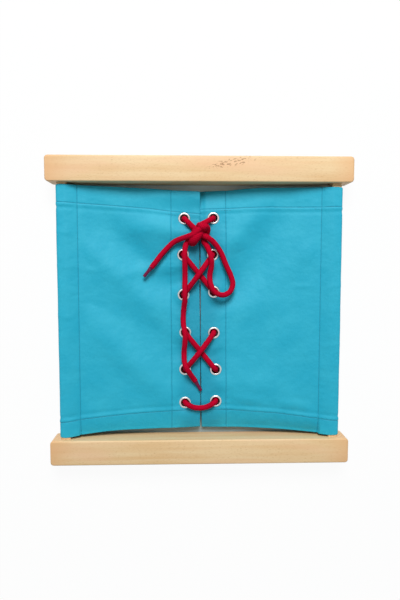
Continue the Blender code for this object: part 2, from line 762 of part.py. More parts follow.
def lacing_route():
    """The held lace, from the left top eyelet round all rows to the right top eyelet."""
    left, right = eyelet_places(-1), eyelet_places(1)
    bow = hanging_bow(left[5], right[5])
    fall = BACK_LEVEL - BARREL_MIDDLE
    route = join_in_barrel(left[0], -1)
    route += quarter_bend(left[0], horizontal(left[0], left[1]), fall)
    route += through_eyelet(left[1], left[0], right[2])
    route.append(crossing(left[1], right[2], CLOTH_LEVEL))
    route += through_eyelet(right[2], right[3], left[1])[::-1]
    route += through_eyelet(right[3], right[2], left[4])
    route.append(crossing(right[3], left[4], CROSSING_LEVEL))
    route += through_eyelet(left[4], left[5], right[3])[::-1]
    route += through_eyelet(left[5], left[4], bow[0]) + bow
    route += through_eyelet(right[5], right[4], bow[-1])[::-1]
    route += through_eyelet(right[4], right[5], left[3])
    route.append(crossing(right[4], left[3], CLOTH_LEVEL))
    route += through_eyelet(left[3], left[2], right[4])[::-1]
    route += through_eyelet(left[2], left[3], right[1])
    route.append(crossing(left[2], right[1], CROSSING_LEVEL))
    route += through_eyelet(right[1], right[0], left[2])[::-1]
    route += quarter_bend(right[0], horizontal(right[0], right[1]), fall)[::-1]
    return route + join_in_barrel(right[0], -1)[::-1]


def free_end_route(place, route):
    """A free end, from the barrel of its eyelet along the points chosen for it."""
    bend = quarter_bend(place, horizontal(place, route[0]), FRONT_LEVEL - BARREL_MIDDLE)
    return join_in_barrel(place, 1) + bend + list(route)


def make_tip(name, start, end, look):
    """A crimped tip in line with the lace's end."""
    start, end = Vector(start), Vector(end)
    ahead = (end - start).normalized()
    root, tip = TIP_ROOT_DIAMETER / 2, TIP_END_DIAMETER / 2
    profile = (
        (0, 0),
        (root, 0),
        (root, 0.15 * TIP_LENGTH),
        (tip, 0.35 * TIP_LENGTH),
        (tip, 0.95 * TIP_LENGTH),
        (0.7 * tip, TIP_LENGTH),
        (0, TIP_LENGTH),
    )
    obj = add_object(name, turned(name, profile, ROUND_SIDES), look, start + ahead * LACE_GAP)
    obj.rotation_euler = ahead.to_track_quat("Z", "Y").to_euler()
    return obj


def make_lace(cord, plastic):
    left, right = eyelet_places(-1), eyelet_places(1)
    lacing = smooth_curve(lacing_route())
    loop_end = smooth_curve(free_end_route(left[0], LOOP_END_ROUTE))
    long_end = smooth_curve(free_end_route(right[0], LONG_END_ROUTE))
    make_tube("lace_lacing", lacing, HELD_LACE_TURN, cord)
    make_tube("lace_loop_end", loop_end, FREE_LACE_TURN, cord)
    make_tube("lace_long_end", long_end, FREE_LACE_TURN, cord)
    make_tip("loop_end_tip", LOOP_END_ROUTE[-1], SHORT_TAIL_TIP_END, plastic)
    make_tip("long_end_tip", LONG_END_ROUTE[-1], LONG_TAIL_TIP_END, plastic)
    gap, place = least_gap([lacing, loop_end, long_end])
    print(f"Least gap between strands: {gap:.5f} m at", tuple(round(v, 4) for v in place))


def main():
    clear_scene()
    wood = material("Pale beech", (0.80, 0.62, 0.42), 0.55)
    cloth = material("Turquoise canvas", (0.02, 0.38, 0.55), 0.9)
    metal = material("Nickelled eyelet", (0.85, 0.85, 0.86), 0.25, 1.0)
    steel = material("Zinc-plated screw", (0.6, 0.6, 0.62), 0.35, 1.0)
    cord = material("Red lace", (0.58, 0.01, 0.03), 0.8)
    plastic = material("Dark red tip", (0.25, 0.01, 0.06), 0.4)
    make_rail("top_rail", 1, wood)
    make_rail("bottom_rail", -1, wood)
    number = 1
    for label, side in (("left", -1), ("right", 1)):
        make_side_bar(label, side, wood)
        make_sleeve(label, side, cloth)
        make_flap(label, side, cloth, metal)
        for end in (1, -1):
            make_screw(f"frame_screw_{number}", side, end, steel)
            number += 1
    make_lace(cord, plastic)


main()
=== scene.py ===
# %% [markdown]
# A lacing frame teaches a child to thread and tie a lace. Two beech rails and two side bars carry
# two turquoise canvas panels. The imported model gives every size and place, so it is loaded first.

# %% Load the imported model
import math

import bmesh
import bpy
import numpy as np
from mathutils import Matrix, Vector


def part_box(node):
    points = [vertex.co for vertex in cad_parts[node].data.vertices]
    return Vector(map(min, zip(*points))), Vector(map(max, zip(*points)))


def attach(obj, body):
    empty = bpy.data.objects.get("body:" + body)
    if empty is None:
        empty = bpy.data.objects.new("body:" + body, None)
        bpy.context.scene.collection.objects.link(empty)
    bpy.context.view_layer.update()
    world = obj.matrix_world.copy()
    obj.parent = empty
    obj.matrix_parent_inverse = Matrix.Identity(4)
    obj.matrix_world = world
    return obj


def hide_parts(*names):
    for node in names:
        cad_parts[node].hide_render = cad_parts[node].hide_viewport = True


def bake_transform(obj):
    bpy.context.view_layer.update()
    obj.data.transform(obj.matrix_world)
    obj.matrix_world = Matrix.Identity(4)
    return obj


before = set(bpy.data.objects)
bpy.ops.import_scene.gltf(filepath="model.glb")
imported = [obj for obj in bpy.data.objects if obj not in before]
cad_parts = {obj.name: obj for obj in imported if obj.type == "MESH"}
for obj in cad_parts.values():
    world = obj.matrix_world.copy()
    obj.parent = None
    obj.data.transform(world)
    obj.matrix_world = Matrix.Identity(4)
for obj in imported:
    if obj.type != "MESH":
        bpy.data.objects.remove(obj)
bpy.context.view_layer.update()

# %% [markdown]
# The photograph looks almost straight down on the frame from a little above its middle. A camera
# could be turned by eye until it fits. Here its place, tilt and lens come from the rails' corners,
# whose real sizes are known, so that every edge falls where the photograph has it.

# %% Camera
CAMERA_PLACE = (-0.0165, 0.05251, 0.54425)
CAMERA_TILT_DEGREES = (-4.3272, -1.7633, 0.0133)
CAMERA_LENS = 31.161

camera_tilt = [math.radians(angle) for angle in CAMERA_TILT_DEGREES]
bpy.ops.object.camera_add(location=CAMERA_PLACE, rotation=camera_tilt)
camera = bpy.context.object
camera.data.lens = CAMERA_LENS
bpy.context.scene.camera = camera
print("Camera", tuple(round(v, 3) for v in camera.location))

# %% [markdown]
# Everything that is modelled by hand starts with nothing selected. A few small helpers see to that.
# They also take a finished piece's place into its mesh, because each object has to end at the
# origin, and hand it over to the body it moves with, in place of the imported solid that it hides.


# %% Helpers for every piece
def only(*objects):
    """Select just these objects, and make the first one active."""
    bpy.ops.object.select_all(action="DESELECT")
    for obj in objects:
        obj.select_set(True)
    if objects:
        bpy.context.view_layer.objects.active = objects[0]


def settle(obj):
    """Move the object's place and turn into its mesh."""
    only(obj)
    bpy.ops.object.transform_apply(location=True, rotation=True, scale=True)
    return obj


def named(obj, name):
    obj.name = name
    obj.data.name = name
    return obj


def mesh_object(name, vertices, faces):
    mesh = bpy.data.meshes.new(name)
    mesh.from_pydata([tuple(v) for v in vertices], [], [tuple(f) for f in faces])
    obj = bpy.data.objects.new(name, mesh)
    bpy.context.scene.collection.objects.link(obj)
    return obj


def stand_in_for(obj, node, body):
    """Hand a finished piece over to what it rides on, and hide the imported solid it replaces."""
    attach(obj, body)
    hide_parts(node)


def box_middle(node):
    low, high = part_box(node)
    return (low + high) / 2


# %% [markdown]
# The lace is one round braided cord. Ten eyelets hold its middle, and its two free ends make the
# bow. A curve object with a bevel would be the quick way, but a route of straight runs and arcs
# looks like bent wire. Here one smooth curve runs through all the points of the route, which are
# given and are the same as in the imported model, so that the lace bends like cord.

# %% Where the lace runs
LACE_DIAMETER = 0.005
LACE_GAP = 0.0005
LACE_BEND = 0.0051
LACE_JOIN_GAP = 0.0001
LACE_JOIN_RUN = 0.0008
BOW_DIP = 0.0058
BOW_ROUNDNESS = 0.7
BOW_SHARES = (0.3, 0.5, 0.7)
FLANGE_HEIGHT = 0.0007
SEAT_GAP = 0.0003
SMOOTHING_STEPS = 20

flange_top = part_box("left_eyelet_1")[1].z
curl_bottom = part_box("left_eyelet_1")[0].z
placket_top = flange_top - FLANGE_HEIGHT - SEAT_GAP
barrel_middle = (flange_top + curl_bottom) / 2
front_level = flange_top + LACE_GAP + LACE_DIAMETER / 2
back_level = curl_bottom - LACE_GAP - LACE_DIAMETER / 2
cloth_level = placket_top + LACE_GAP + LACE_DIAMETER / 2
crossing_level = cloth_level + LACE_DIAMETER + LACE_GAP

left_places = [box_middle(f"left_eyelet_{number}").xy for number in range(1, 7)]
right_places = [box_middle(f"right_eyelet_{number}").xy for number in range(1, 7)]
print("Top eyelets", left_places[0], right_places[0])

# %% The bow's two free ends
LOOP_END_ROUTE = (
    (-0.0090, 0.0880, 0.0141),
    (-0.0045, 0.0838, 0.0135),
    (-0.0014, 0.0812, 0.0143),
    (0.0014, 0.0793, 0.0179),
    (0.0050, 0.0769, 0.0193),
    (0.0090, 0.0746, 0.0184),
    (0.0137, 0.0710, 0.0168),
    (0.0208, 0.0612, 0.0150),
    (0.0263, 0.0484, 0.0142),
    (0.0317, 0.0362, 0.0143),
    (0.0333, 0.0285, 0.0152),
    (0.0300, 0.0208, 0.0170),
    (0.0231, 0.0177, 0.0188),
    (0.0160, 0.0200, 0.0201),
    (0.0110, 0.0272, 0.0199),
    (0.0096, 0.0370, 0.0172),
    (0.0112, 0.0465, 0.0188),
    (0.0112, 0.0530, 0.0207),
    (0.0104, 0.0580, 0.0204),
    (0.0088, 0.0630, 0.0182),
    (0.0062, 0.0683, 0.0152),
    (0.0038, 0.0725, 0.0137),
    (0.0049, 0.0766, 0.0136),
    (0.0067, 0.0805, 0.0144),
    (0.0073, 0.0845, 0.0182),
    (0.0045, 0.0867, 0.0230),
    (-0.0008, 0.0841, 0.0243),
    (-0.0066, 0.0789, 0.0239),
    (-0.0122, 0.0767, 0.0213),
    (-0.0205, 0.0742, 0.0170),
    (-0.0270, 0.0710, 0.0150),
    (-0.0380, 0.0602, 0.0141),
    (-0.0472, 0.0485, 0.0141),
    (-0.0497, 0.0455, 0.0142),
)
LONG_END_ROUTE = (
    (0.0040, 0.0903, 0.0172),
    (-0.0008, 0.0873, 0.0189),
    (-0.0045, 0.0832, 0.0191),
    (-0.0080, 0.0776, 0.0169),
    (-0.0118, 0.0724, 0.0157),
    (-0.0143, 0.0690, 0.0166),
    (-0.0156, 0.0635, 0.0189),
    (-0.0159, 0.0571, 0.0202),
    (-0.0156, 0.0500, 0.0196),
    (-0.0155, 0.0358, 0.0168),
    (-0.0157, 0.0245, 0.0196),
    (-0.0157, 0.0179, 0.0202),
    (-0.0157, 0.0115, 0.0186),
    (-0.0166, 0.0051, 0.0158),
    (-0.0173, -0.0035, 0.0143),
    (-0.0172, -0.0123, 0.0164),
    (-0.0159, -0.0190, 0.0196),
    (-0.0153, -0.0245, 0.0200),
    (-0.0158, -0.0320, 0.0186),
    (-0.0166, -0.0420, 0.0156),
    (-0.0163, -0.0500, 0.0176),
    (-0.0146, -0.0560, 0.0200),
    (-0.0106, -0.0632, 0.0178),
    (-0.0068, -0.0692, 0.0144),
    (-0.0050, -0.0718, 0.0138),
)
SHORT_TAIL_TIP_END = (-0.0574, 0.0361, 0.0146)
LONG_TAIL_TIP_END = (0.0010, -0.0821, 0.0129)


# %% A smooth curve through the points
def between_knots(start, end, low, high, t):
    return start * ((high - t) / (high - low)) + end * ((t - low) / (high - low))


def curve_point(points, knots, t):
    """A point of the centripetal Catmull-Rom curve between the second and third points."""
    first = [between_knots(points[k], points[k + 1], knots[k], knots[k + 1], t) for k in range(3)]
    second = [between_knots(first[k], first[k + 1], knots[k], knots[k + 2], t) for k in range(2)]
    return between_knots(second[0], second[1], knots[1], knots[2], t)


def smooth_curve(route):
    route = [Vector(point) for point in route]
    route = [2 * route[0] - route[1]] + route + [2 * route[-1] - route[-2]]
    fine = []
    for k in range(len(route) - 3):
        points = route[k : k + 4]
        knots = [0.0]
        for a, b in zip(points, points[1:]):
            knots.append(knots[-1] + math.sqrt((b - a).length))
        for step in range(SMOOTHING_STEPS):
            fine.append(curve_point(points, knots, knots[1] + (knots[2] - knots[1]) * step / SMOOTHING_STEPS))
    return np.array(fine + [route[-2]])


# %% Bends in and out of the eyelets
def horizontal(start, end):
    return Vector((end[0] - start[0], end[1] - start[1], 0)).normalized()


def quarter_bend(place, direction, rise):
    """The lace turning from the middle of an eyelet's barrel to level, up or down by rise."""
    middle = Vector((*place, barrel_middle))
    half = math.sqrt(0.5)
    shoulder = middle + direction * LACE_BEND * (1 - half) + Vector((0, 0, rise * half))
    return [shoulder, middle + direction * LACE_BEND + Vector((0, 0, rise))]


def through_eyelet(place, back_towards, front_towards):
    back = quarter_bend(place, horizontal(place, back_towards), back_level - barrel_middle)
    front = quarter_bend(place, horizontal(place, front_towards), front_level - barrel_middle)
    return back[::-1] + [Vector((*place, barrel_middle))] + front


def join_in_barrel(place, way):
    """Where two pieces of the lace meet in a barrel: a short run square to the meeting face."""
    face = barrel_middle + way * LACE_JOIN_GAP / 2
    return [Vector((*place, face)), Vector((*place, face + way * LACE_JOIN_RUN))]


def crossing(start, end, height):
    return Vector(((start[0] + end[0]) / 2, (start[1] + end[1]) / 2, height))


def hanging_bow(left, right):
    """The bottom row's front run, which hangs in a round bow below its two eyelets."""
    bow = []
    for share in BOW_SHARES:
        x = left[0] + (right[0] - left[0]) * share
        y = left[1] + (right[1] - left[1]) * share
        dip = BOW_DIP * math.sin(math.pi * share) ** BOW_ROUNDNESS
        bow.append(Vector((x, y - dip, cloth_level)))
    return bow


# %% The whole laced part
def lacing_route(left, right):
    """From the left top eyelet round all rows to the right top eyelet."""
    bow = hanging_bow(left[5], right[5])
    fall = back_level - barrel_middle
    route = join_in_barrel(left[0], -1)
    route += quarter_bend(left[0], horizontal(left[0], left[1]), fall)
    route += through_eyelet(left[1], left[0], right[2])
    route.append(crossing(left[1], right[2], cloth_level))
    route += through_eyelet(right[2], right[3], left[1])[::-1]
    route += through_eyelet(right[3], right[2], left[4])
    route.append(crossing(right[3], left[4], crossing_level))
    route += through_eyelet(left[4], left[5], right[3])[::-1]
    route += through_eyelet(left[5], left[4], bow[0]) + bow
    route += through_eyelet(right[5], right[4], bow[-1])[::-1]
    route += through_eyelet(right[4], right[5], left[3])
    route.append(crossing(right[4], left[3], cloth_level))
    route += through_eyelet(left[3], left[2], right[4])[::-1]
    route += through_eyelet(left[2], left[3], right[1])
    route.append(crossing(left[2], right[1], crossing_level))
    route += through_eyelet(right[1], right[0], left[2])[::-1]
    route += quarter_bend(right[0], horizontal(right[0], right[1]), fall)[::-1]
    return route + join_in_barrel(right[0], -1)[::-1]


def free_end_route(place, route):
    bend = quarter_bend(place, horizontal(place, route[0]), front_level - barrel_middle)
    return join_in_barrel(place, 1) + bend + list(route)


lacing_line = smooth_curve(lacing_route(left_places, right_places))
loop_end_line = smooth_curve(free_end_route(left_places[0], LOOP_END_ROUTE))
long_end_line = smooth_curve(free_end_route(right_places[0], LONG_END_ROUTE))


# %% Distances along a line
def line_length(line):
    return float(np.linalg.norm(np.diff(line, axis=0), axis=1).sum())


def runs_along(line):
    """How far along the line each of its points lies."""
    return np.concatenate([[0], np.cumsum(np.linalg.norm(np.diff(line, axis=0), axis=1))])


def read_along(values, runs, wanted):
    """The three values that are kept at each of a line's points, read at the wanted distances."""
    return np.stack([np.interp(wanted, runs, values[:, k]) for k in range(3)], axis=1)


def even_line(line, step):
    """Points a step apart along a line, and how far along it they lie."""
    runs = runs_along(line)
    wanted = np.linspace(0, runs[-1], max(2, round(runs[-1] / step)))
    return read_along(line, runs, wanted), wanted


lace_lines = (lacing_line, loop_end_line, long_end_line)
print("Lace lengths", [round(line_length(line), 4) for line in lace_lines])

# %% [markdown]
# A braided cord isn't a plain tube: strands wind round it both ways and pass over and under each
# other. Strands modelled one by one would need many times the faces. Instead the tube is built ring
# by ring along the curve, and each point is raised or lowered by the braid's pattern. The pattern's
# height is also kept as an attribute, which the finish uses to paint shade into the grooves.

# %% Braided tube
LACE_FULL_DIAMETER = 0.0054
LACE_SIDES = 32
LACE_RING_STEP = 0.0004
BRAID_STRANDS = 8
BRAID_TURN = 0.016
BRAID_RELIEF = 0.00022
OVER_UNDER = 0.6
KNOT_MIDDLE = (-0.001, 0.0800)
KNOT_REACH = 0.0135
KNOT_SWELL = 0.14


def steady_frames(line):
    """For each point, two directions across the line that turn as little as they can."""
    ahead = np.gradient(line, axis=0)
    ahead /= np.linalg.norm(ahead, axis=1, keepdims=True)
    first = np.cross(ahead[0], (0.3, 0.5, 0.8))
    first /= np.linalg.norm(first)
    across = [first]
    for direction in ahead[1:]:
        turned = across[-1] - direction * np.dot(across[-1], direction)
        across.append(turned / np.linalg.norm(turned))
    across = np.array(across)
    return across, np.cross(ahead, across)


def braid_height(turn, along, strands):
    """From 0 in a groove to 1 on a strand's crown. turn runs from 0 to 1 round the cord."""
    lead = BRAID_TURN * strands / BRAID_STRANDS
    a = np.cos(math.pi * strands * (turn + along / lead))
    b = np.cos(math.pi * strands * (turn - along / lead))
    passes = OVER_UNDER * a * b
    return np.maximum(np.abs(a) * (1 + passes), np.abs(b) * (1 - passes)) / (1 + OVER_UNDER)


def braided_tube(name, line, knot=False, fullness=1.0):
    line, runs = even_line(line, LACE_RING_STEP)
    across, up = steady_frames(line)
    sides = round(LACE_SIDES * fullness)
    turns = np.arange(sides) / sides
    height = braid_height(turns[None, :], runs[:, None], round(BRAID_STRANDS * fullness))
    radius = fullness * LACE_FULL_DIAMETER / 2 + BRAID_RELIEF * (height - 0.6)
    if knot:
        away = np.linalg.norm(line[:, :2] - KNOT_MIDDLE, axis=1)
        radius = radius * (1 + KNOT_SWELL * np.exp(-((away / KNOT_REACH) ** 4)))[:, None]
    cosines, sines = np.cos(math.tau * turns), np.sin(math.tau * turns)
    rings = line[:, None] + radius[..., None] * (
        across[:, None] * cosines[None, :, None] + up[:, None] * sines[None, :, None]
    )
    count = len(line)
    ids = np.arange(count * sides).reshape(count, sides)
    after = np.roll(ids, -1, axis=1)
    faces = np.stack([ids[:-1], after[:-1], after[1:], ids[1:]], axis=-1).reshape(-1, 4).tolist()
    faces.append(ids[0, ::-1].tolist())
    faces.append(ids[-1].tolist())
    obj = mesh_object(name, rings.reshape(-1, 3), faces)
    corner_turns = np.stack([turns, turns + 1 / sides, turns + 1 / sides, turns], axis=-1)
    corner_turns = np.broadcast_to(corner_turns, (count - 1, sides, 4))
    corner_runs = np.stack([runs[:-1], runs[:-1], runs[1:], runs[1:]], axis=-1)
    corner_runs = np.broadcast_to(corner_runs[:, None], (count - 1, sides, 4))
    uv = np.zeros((len(obj.data.loops), 2))
    uv[: corner_turns.size, 0] = corner_turns.reshape(-1) * math.pi * LACE_DIAMETER * fullness
    uv[: corner_turns.size, 1] = corner_runs.reshape(-1)
    obj.data.uv_layers.new(name="cord").data.foreach_set("uv", uv.reshape(-1))
    crown = obj.data.attributes.new("crown", "FLOAT", "POINT")
    crown.data.foreach_set("value", height.reshape(-1))
    obj.data.shade_smooth()
    print(name, len(obj.data.polygons), "faces")
    return obj, line


# %% The three pieces of the lace
def lace_piece(name, line, node, knot):
    """A piece of lace and the rings' middles that its mesh follows."""
    obj, rings = braided_tube(name, line, knot)
    stand_in_for(obj, node, "lace")
    return obj, rings


lacing, _ = lace_piece("lacing", lacing_line, "lace_lacing", False)
loop_end, loop_end_rings = lace_piece("bow_loop_end", loop_end_line, "lace_loop_end", True)
long_end, long_end_rings = lace_piece("bow_long_end", long_end_line, "lace_long_end", True)

# %% [markdown]
# In a drawn knot the strands press into each other, which a cord on a route without overlaps can't
# do. The knot could be pulled tight by a soft body simulation, but its crossings seldom survive
# that. Two short thick arches of the same braid stand over the crossing instead, as the turns that
# hold it together.

# %% The knot's two turns
# Each turn's middle, heading in degrees, reach, lowest and highest level, and fullness.
KNOT_TURNS = {
    "knot_upper_turn": ((0.0014, 0.0862), -36, 0.0031, 0.0180, 0.0253, 1.12),
    "knot_lower_turn": ((-0.0040, 0.0766), 52, 0.0062, 0.0168, 0.0222, 1.76),
}
TURN_STEP_DEGREES = 15


def knot_turn(name, middle, heading, reach, low, high, fullness):
    """A short arch of lace, drawn tight in the knot, that points heading degrees from the X axis."""
    route = []
    across = Vector((math.cos(math.radians(heading)), math.sin(math.radians(heading)), 0))
    for angle in range(-90, 91, TURN_STEP_DEGREES):
        a = math.radians(angle)
        place = Vector((*middle, low)) + across * reach * math.sin(a)
        route.append(place + Vector((0, 0, (high - low) * math.cos(a))))
    obj, _ = braided_tube(name, smooth_curve(route), fullness=fullness)
    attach(obj, "lace")
    return obj


knot_turns = [knot_turn(name, *sizes) for name, sizes in KNOT_TURNS.items()]

# %% [markdown]
# Round pieces such as the lace's tips, the eyelets and the screws are turned. The Screw modifier
# could spin their section, but it leaves the poles to be closed. Here a circle is extruded from one
# point of a profile to the next and resized each time. A solid closes on small caps at both ends,
# and a ring closes on itself.

# %% Turned pieces
SHARP_FROM = math.radians(35)


def next_ring(radius, height, after):
    bpy.ops.mesh.extrude_region_move(TRANSFORM_OT_translate={"value": (0, 0, after[1] - height)})
    share = after[0] / radius
    bpy.ops.transform.resize(value=(share, share, 1), center_override=(0, 0, after[1]))


def turned(name, profile, sides, ring=False):
    """A profile of (radius, height) round Z, no radius being 0."""
    only()
    bpy.ops.mesh.primitive_circle_add(
        vertices=sides, radius=profile[0][0], fill_type="NOTHING", location=(0, 0, profile[0][1])
    )
    obj = settle(bpy.context.object)
    bpy.ops.object.mode_set(mode="EDIT")
    bpy.ops.mesh.select_mode(type="EDGE")
    bpy.ops.mesh.select_all(action="SELECT")
    for (radius, height), after in zip(profile, profile[1:]):
        next_ring(radius, height, after)
    bpy.ops.mesh.select_all(action="DESELECT")
    bpy.ops.mesh.select_non_manifold()
    if ring:
        bpy.ops.mesh.bridge_edge_loops()
    else:
        bpy.ops.mesh.fill_holes(sides=0)
    bpy.ops.mesh.select_all(action="SELECT")
    bpy.ops.mesh.normals_make_consistent(inside=False)
    bpy.ops.object.mode_set(mode="OBJECT")
    bpy.ops.object.shade_smooth_by_angle(angle=SHARP_FROM)
    return named(obj, name)


def copied(obj, name, matrix):
    """A copy with its own mesh, moved there in its mesh."""
    twin = obj.copy()
    twin.data = obj.data.copy()
    bpy.context.scene.collection.objects.link(twin)
    twin.data.transform(matrix)
    return named(twin, name)


# %% [markdown]
# Each free end of the lace is sealed in a thin stiff tip, pressed into shallow rings so that it
# grips. Plain cylinders would do from afar, but the rings catch the light, so the tip is turned from
# a profile. Both tips are alike, and a copy with its own mesh closes each end in line with the cord.

# %% The lace's two tips
TIP_PROFILE = (
    (0.0016, 0.0), (0.0023, 0.0002), (0.0023, 0.0014), (0.0021, 0.0018), (0.0022, 0.0022),
    (0.0019, 0.0028), (0.0020, 0.0033), (0.0017, 0.0042), (0.0017, 0.0100), (0.0016, 0.0114),
    (0.0012, 0.0119), (0.0005, 0.0120),
)

tip = turned("tip", TIP_PROFILE, 32)


def place_tip(name, node, start, end):
    start, end = Vector(start), Vector(end)
    ahead = (end - start).normalized()
    turn = ahead.to_track_quat("Z", "Y").to_matrix().to_4x4()
    obj = copied(tip, name, Matrix.Translation(start + ahead * LACE_JOIN_GAP) @ turn)
    stand_in_for(obj, node, "lace")
    return obj


short_tip = place_tip("short_tail_tip", "loop_end_tip", LOOP_END_ROUTE[-1], SHORT_TAIL_TIP_END)
long_tip = place_tip("long_tail_tip", "long_end_tip", LONG_END_ROUTE[-1], LONG_TAIL_TIP_END)
bpy.data.objects.remove(tip)


def declare_end(obj, rings, *others):
    print(obj.name, "is", round(line_length(rings), 4), "m long")


declare_end(loop_end, loop_end_rings, short_tip, *knot_turns)
declare_end(long_end, long_end_rings, long_tip)

# %% [markdown]
# An eyelet is one pressed tube: a domed flange on the front, a barrel through the cloth and a curl
# that is rolled over a washer at the back. Two tori would look much the same from the front, but
# they would leave the hole without its metal wall. So the section is drawn once, from the inner wall
# over the flange and back, then turned into a ring and copied to the twelve places.

# %% Eyelets and washers
EYELET_PROFILE = (
    (0.0041, 0.0075), (0.0040, 0.0080), (0.0040, 0.0094), (0.0040, 0.0107), (0.00408, 0.01108),
    (0.00432, 0.01137), (0.00468, 0.01150), (0.00510, 0.01150), (0.00552, 0.01138),
    (0.00590, 0.01114), (0.00616, 0.01086), (0.00625, 0.01062), (0.00619, 0.01054),
    (0.00600, 0.01062), (0.00550, 0.01078), (0.00500, 0.01084), (0.00465, 0.01072),
    (0.0045, 0.0103), (0.0045, 0.0092), (0.0045, 0.0080), (0.00475, 0.0078), (0.0052, 0.00782),
    (0.0055, 0.0077), (0.0055, 0.0075), (0.0052, 0.0073), (0.0048, 0.0072), (0.0044, 0.0073),
)
WASHER_PROFILE = (
    (0.0048, 0.0082), (0.0048, 0.0085), (0.0050, 0.0086), (0.0056, 0.0086), (0.0063, 0.0086),
    (0.0066, 0.0085), (0.0066, 0.0083), (0.0064, 0.0082), (0.0057, 0.0081), (0.0050, 0.0081),
)

eyelet = turned("eyelet", EYELET_PROFILE, 48, ring=True)
washer = turned("washer", WASHER_PROFILE, 48, ring=True)
metal_pieces = []
for label, body in (("left", "left_flap"), ("right", "right_flap")):
    for number in range(1, 7):
        for model, kind in ((eyelet, "eyelet"), (washer, "eyelet_washer")):
            node = f"{label}_{kind}_{number}"
            place = box_middle(node)
            obj = copied(model, f"{label}_{kind}_ring_{number}", Matrix.Translation((place.x, place.y, 0)))
            stand_in_for(obj, node, body)
            metal_pieces.append(obj)
bpy.data.objects.remove(eyelet)
bpy.data.objects.remove(washer)
print(len(metal_pieces), "metal rings")

# %% [markdown]
# The rails are planed bars whose edges are rounded with a router. A Bevel modifier would round all
# edges alike, but the upright corners are rounder than the long edges. So each kind of edge is
# selected and bevelled by itself. The mortises for the side bars and the screw holes are then cut
# with a Boolean, as they would be with a chisel and a drill.

# %% Rails
EDGE_RADIUS = 0.0014
CORNER_RADIUS = 0.0034
BAR_EDGE_RADIUS = 0.0015
LEVEL_WITHIN = 0.0001
FIT_GAP = 0.0003
HOLE_PROFILE = ((0.00405, -0.002), (0.00405, 0.0007), (0.00205, 0.0031), (0.00205, 0.038))


def plain_box(name, low, high):
    only()
    bpy.ops.mesh.primitive_cube_add(size=1, location=(low + high) / 2, scale=high - low)
    return named(settle(bpy.context.object), name)


def bevel_where(obj, chosen, radius, segments):
    """Bevel the edges whose two ends pass a test."""
    only(obj)
    bpy.ops.object.mode_set(mode="EDIT")
    bpy.ops.mesh.select_mode(type="EDGE")
    bpy.ops.mesh.select_all(action="DESELECT")
    mesh = bmesh.from_edit_mesh(obj.data)
    for edge in mesh.edges:
        edge.select_set(chosen(edge.verts[0].co, edge.verts[1].co))
    bmesh.update_edit_mesh(obj.data)
    bpy.ops.mesh.bevel(offset=radius, segments=segments, affect="EDGES")
    bpy.ops.object.mode_set(mode="OBJECT")
    return obj


def rounded_box(name, low, high, radius, segments):
    return bevel_where(plain_box(name, low, high), lambda a, b: True, radius, segments)


def rail_blank(name, low, high):
    """A bar with well rounded upright corners and lightly rounded long edges."""
    obj = plain_box(name, low, high)
    bevel_where(obj, lambda a, b: abs(a.z - b.z) > LEVEL_WITHIN, CORNER_RADIUS, 6)
    return bevel_where(obj, lambda a, b: abs(a.z - b.z) < LEVEL_WITHIN, EDGE_RADIUS, 4)


def cut_away(obj, cutter):
    only(obj)
    modifier = obj.modifiers.new("Cut", "BOOLEAN")
    modifier.operation = "DIFFERENCE"
    modifier.solver = "EXACT"
    modifier.object = cutter
    bpy.ops.object.modifier_apply(modifier="Cut")
    bpy.data.objects.remove(cutter)


def from_outer_edge(end, x):
    """Turns a profile's Z inwards from a rail's outer edge."""
    low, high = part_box("top_rail")
    place = Matrix.Translation((x, end * high.y, (low.z + high.z) / 2))
    return place @ Matrix.Rotation(math.radians(90) * end, 4, "X")


hole = turned("screw_hole", HOLE_PROFILE, 32)
rails = []
for name, end in (("top_rail", 1), ("bottom_rail", -1)):
    rail = rail_blank(f"{name}_beech", *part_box(name))
    for bar in ("left_side_bar", "right_side_bar"):
        low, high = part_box(bar)
        gap = Vector([FIT_GAP] * 3)
        cut_away(rail, rounded_box("mortise", low - gap, high + gap, BAR_EDGE_RADIUS, 3))
        cut_away(rail, copied(hole, "hole", from_outer_edge(end, (low.x + high.x) / 2)))
    only(rail)
    bpy.ops.object.shade_smooth_by_angle(angle=SHARP_FROM)
    stand_in_for(rail, name, "frame")
    rails.append(rail)
    print(name, len(rail.data.polygons), "faces")
bpy.data.objects.remove(hole)

# %% [markdown]
# Four countersunk wood screws hold the rails to the side bars, so that the cloth can be taken off
# and washed. Their heads lie just under the wood. The thread is hidden in its hole, so one plain
# shank is turned. The slot is cut across the head with a Boolean, which leaves crisp edges.

# %% Screws
SCREW_SINK = 0.0004
SCREW_PROFILE = (
    (0.0034, 0.0), (0.0037, 0.0001), (0.00375, 0.0003), (0.00175, 0.0024), (0.00175, 0.0330),
    (0.0002, 0.0360),
)
SLOT_HALF = Vector((0.005, 0.00055, 0.001))
SLOT_EDGE_RADIUS = 0.0002

screw = turned("screw", SCREW_PROFILE, 32)
cut_away(screw, rounded_box("slot", -SLOT_HALF, SLOT_HALF, SLOT_EDGE_RADIUS, 2))
sunk = Matrix.Translation((0, 0, SCREW_SINK))
screws = []
for number in range(1, 5):
    node = f"frame_screw_{number}"
    place = box_middle(node)
    end = 1 if place.y > 0 else -1
    obj = copied(screw, f"wood_screw_{number}", from_outer_edge(end, place.x) @ sunk)
    stand_in_for(obj, node, "frame")
    screws.append(obj)
bpy.data.objects.remove(screw)
print(len(screws), "screws")

# %% [markdown]
# Each panel is one strip of canvas. It is wrapped round the side bar and sewn back onto itself,
# which makes the sleeve. It then runs to the slit, where its edge is turned back to carry the
# eyelets. A cloth simulation would be the expected way, but it would lose the sewn lines. Here a
# grid of points follows the cloth round the bar, with the stitch lines on the grid, so that the
# cloth can be drawn in along them. Side -1 is left and 1 is right, and x counts from the middle
# outwards on both sides.

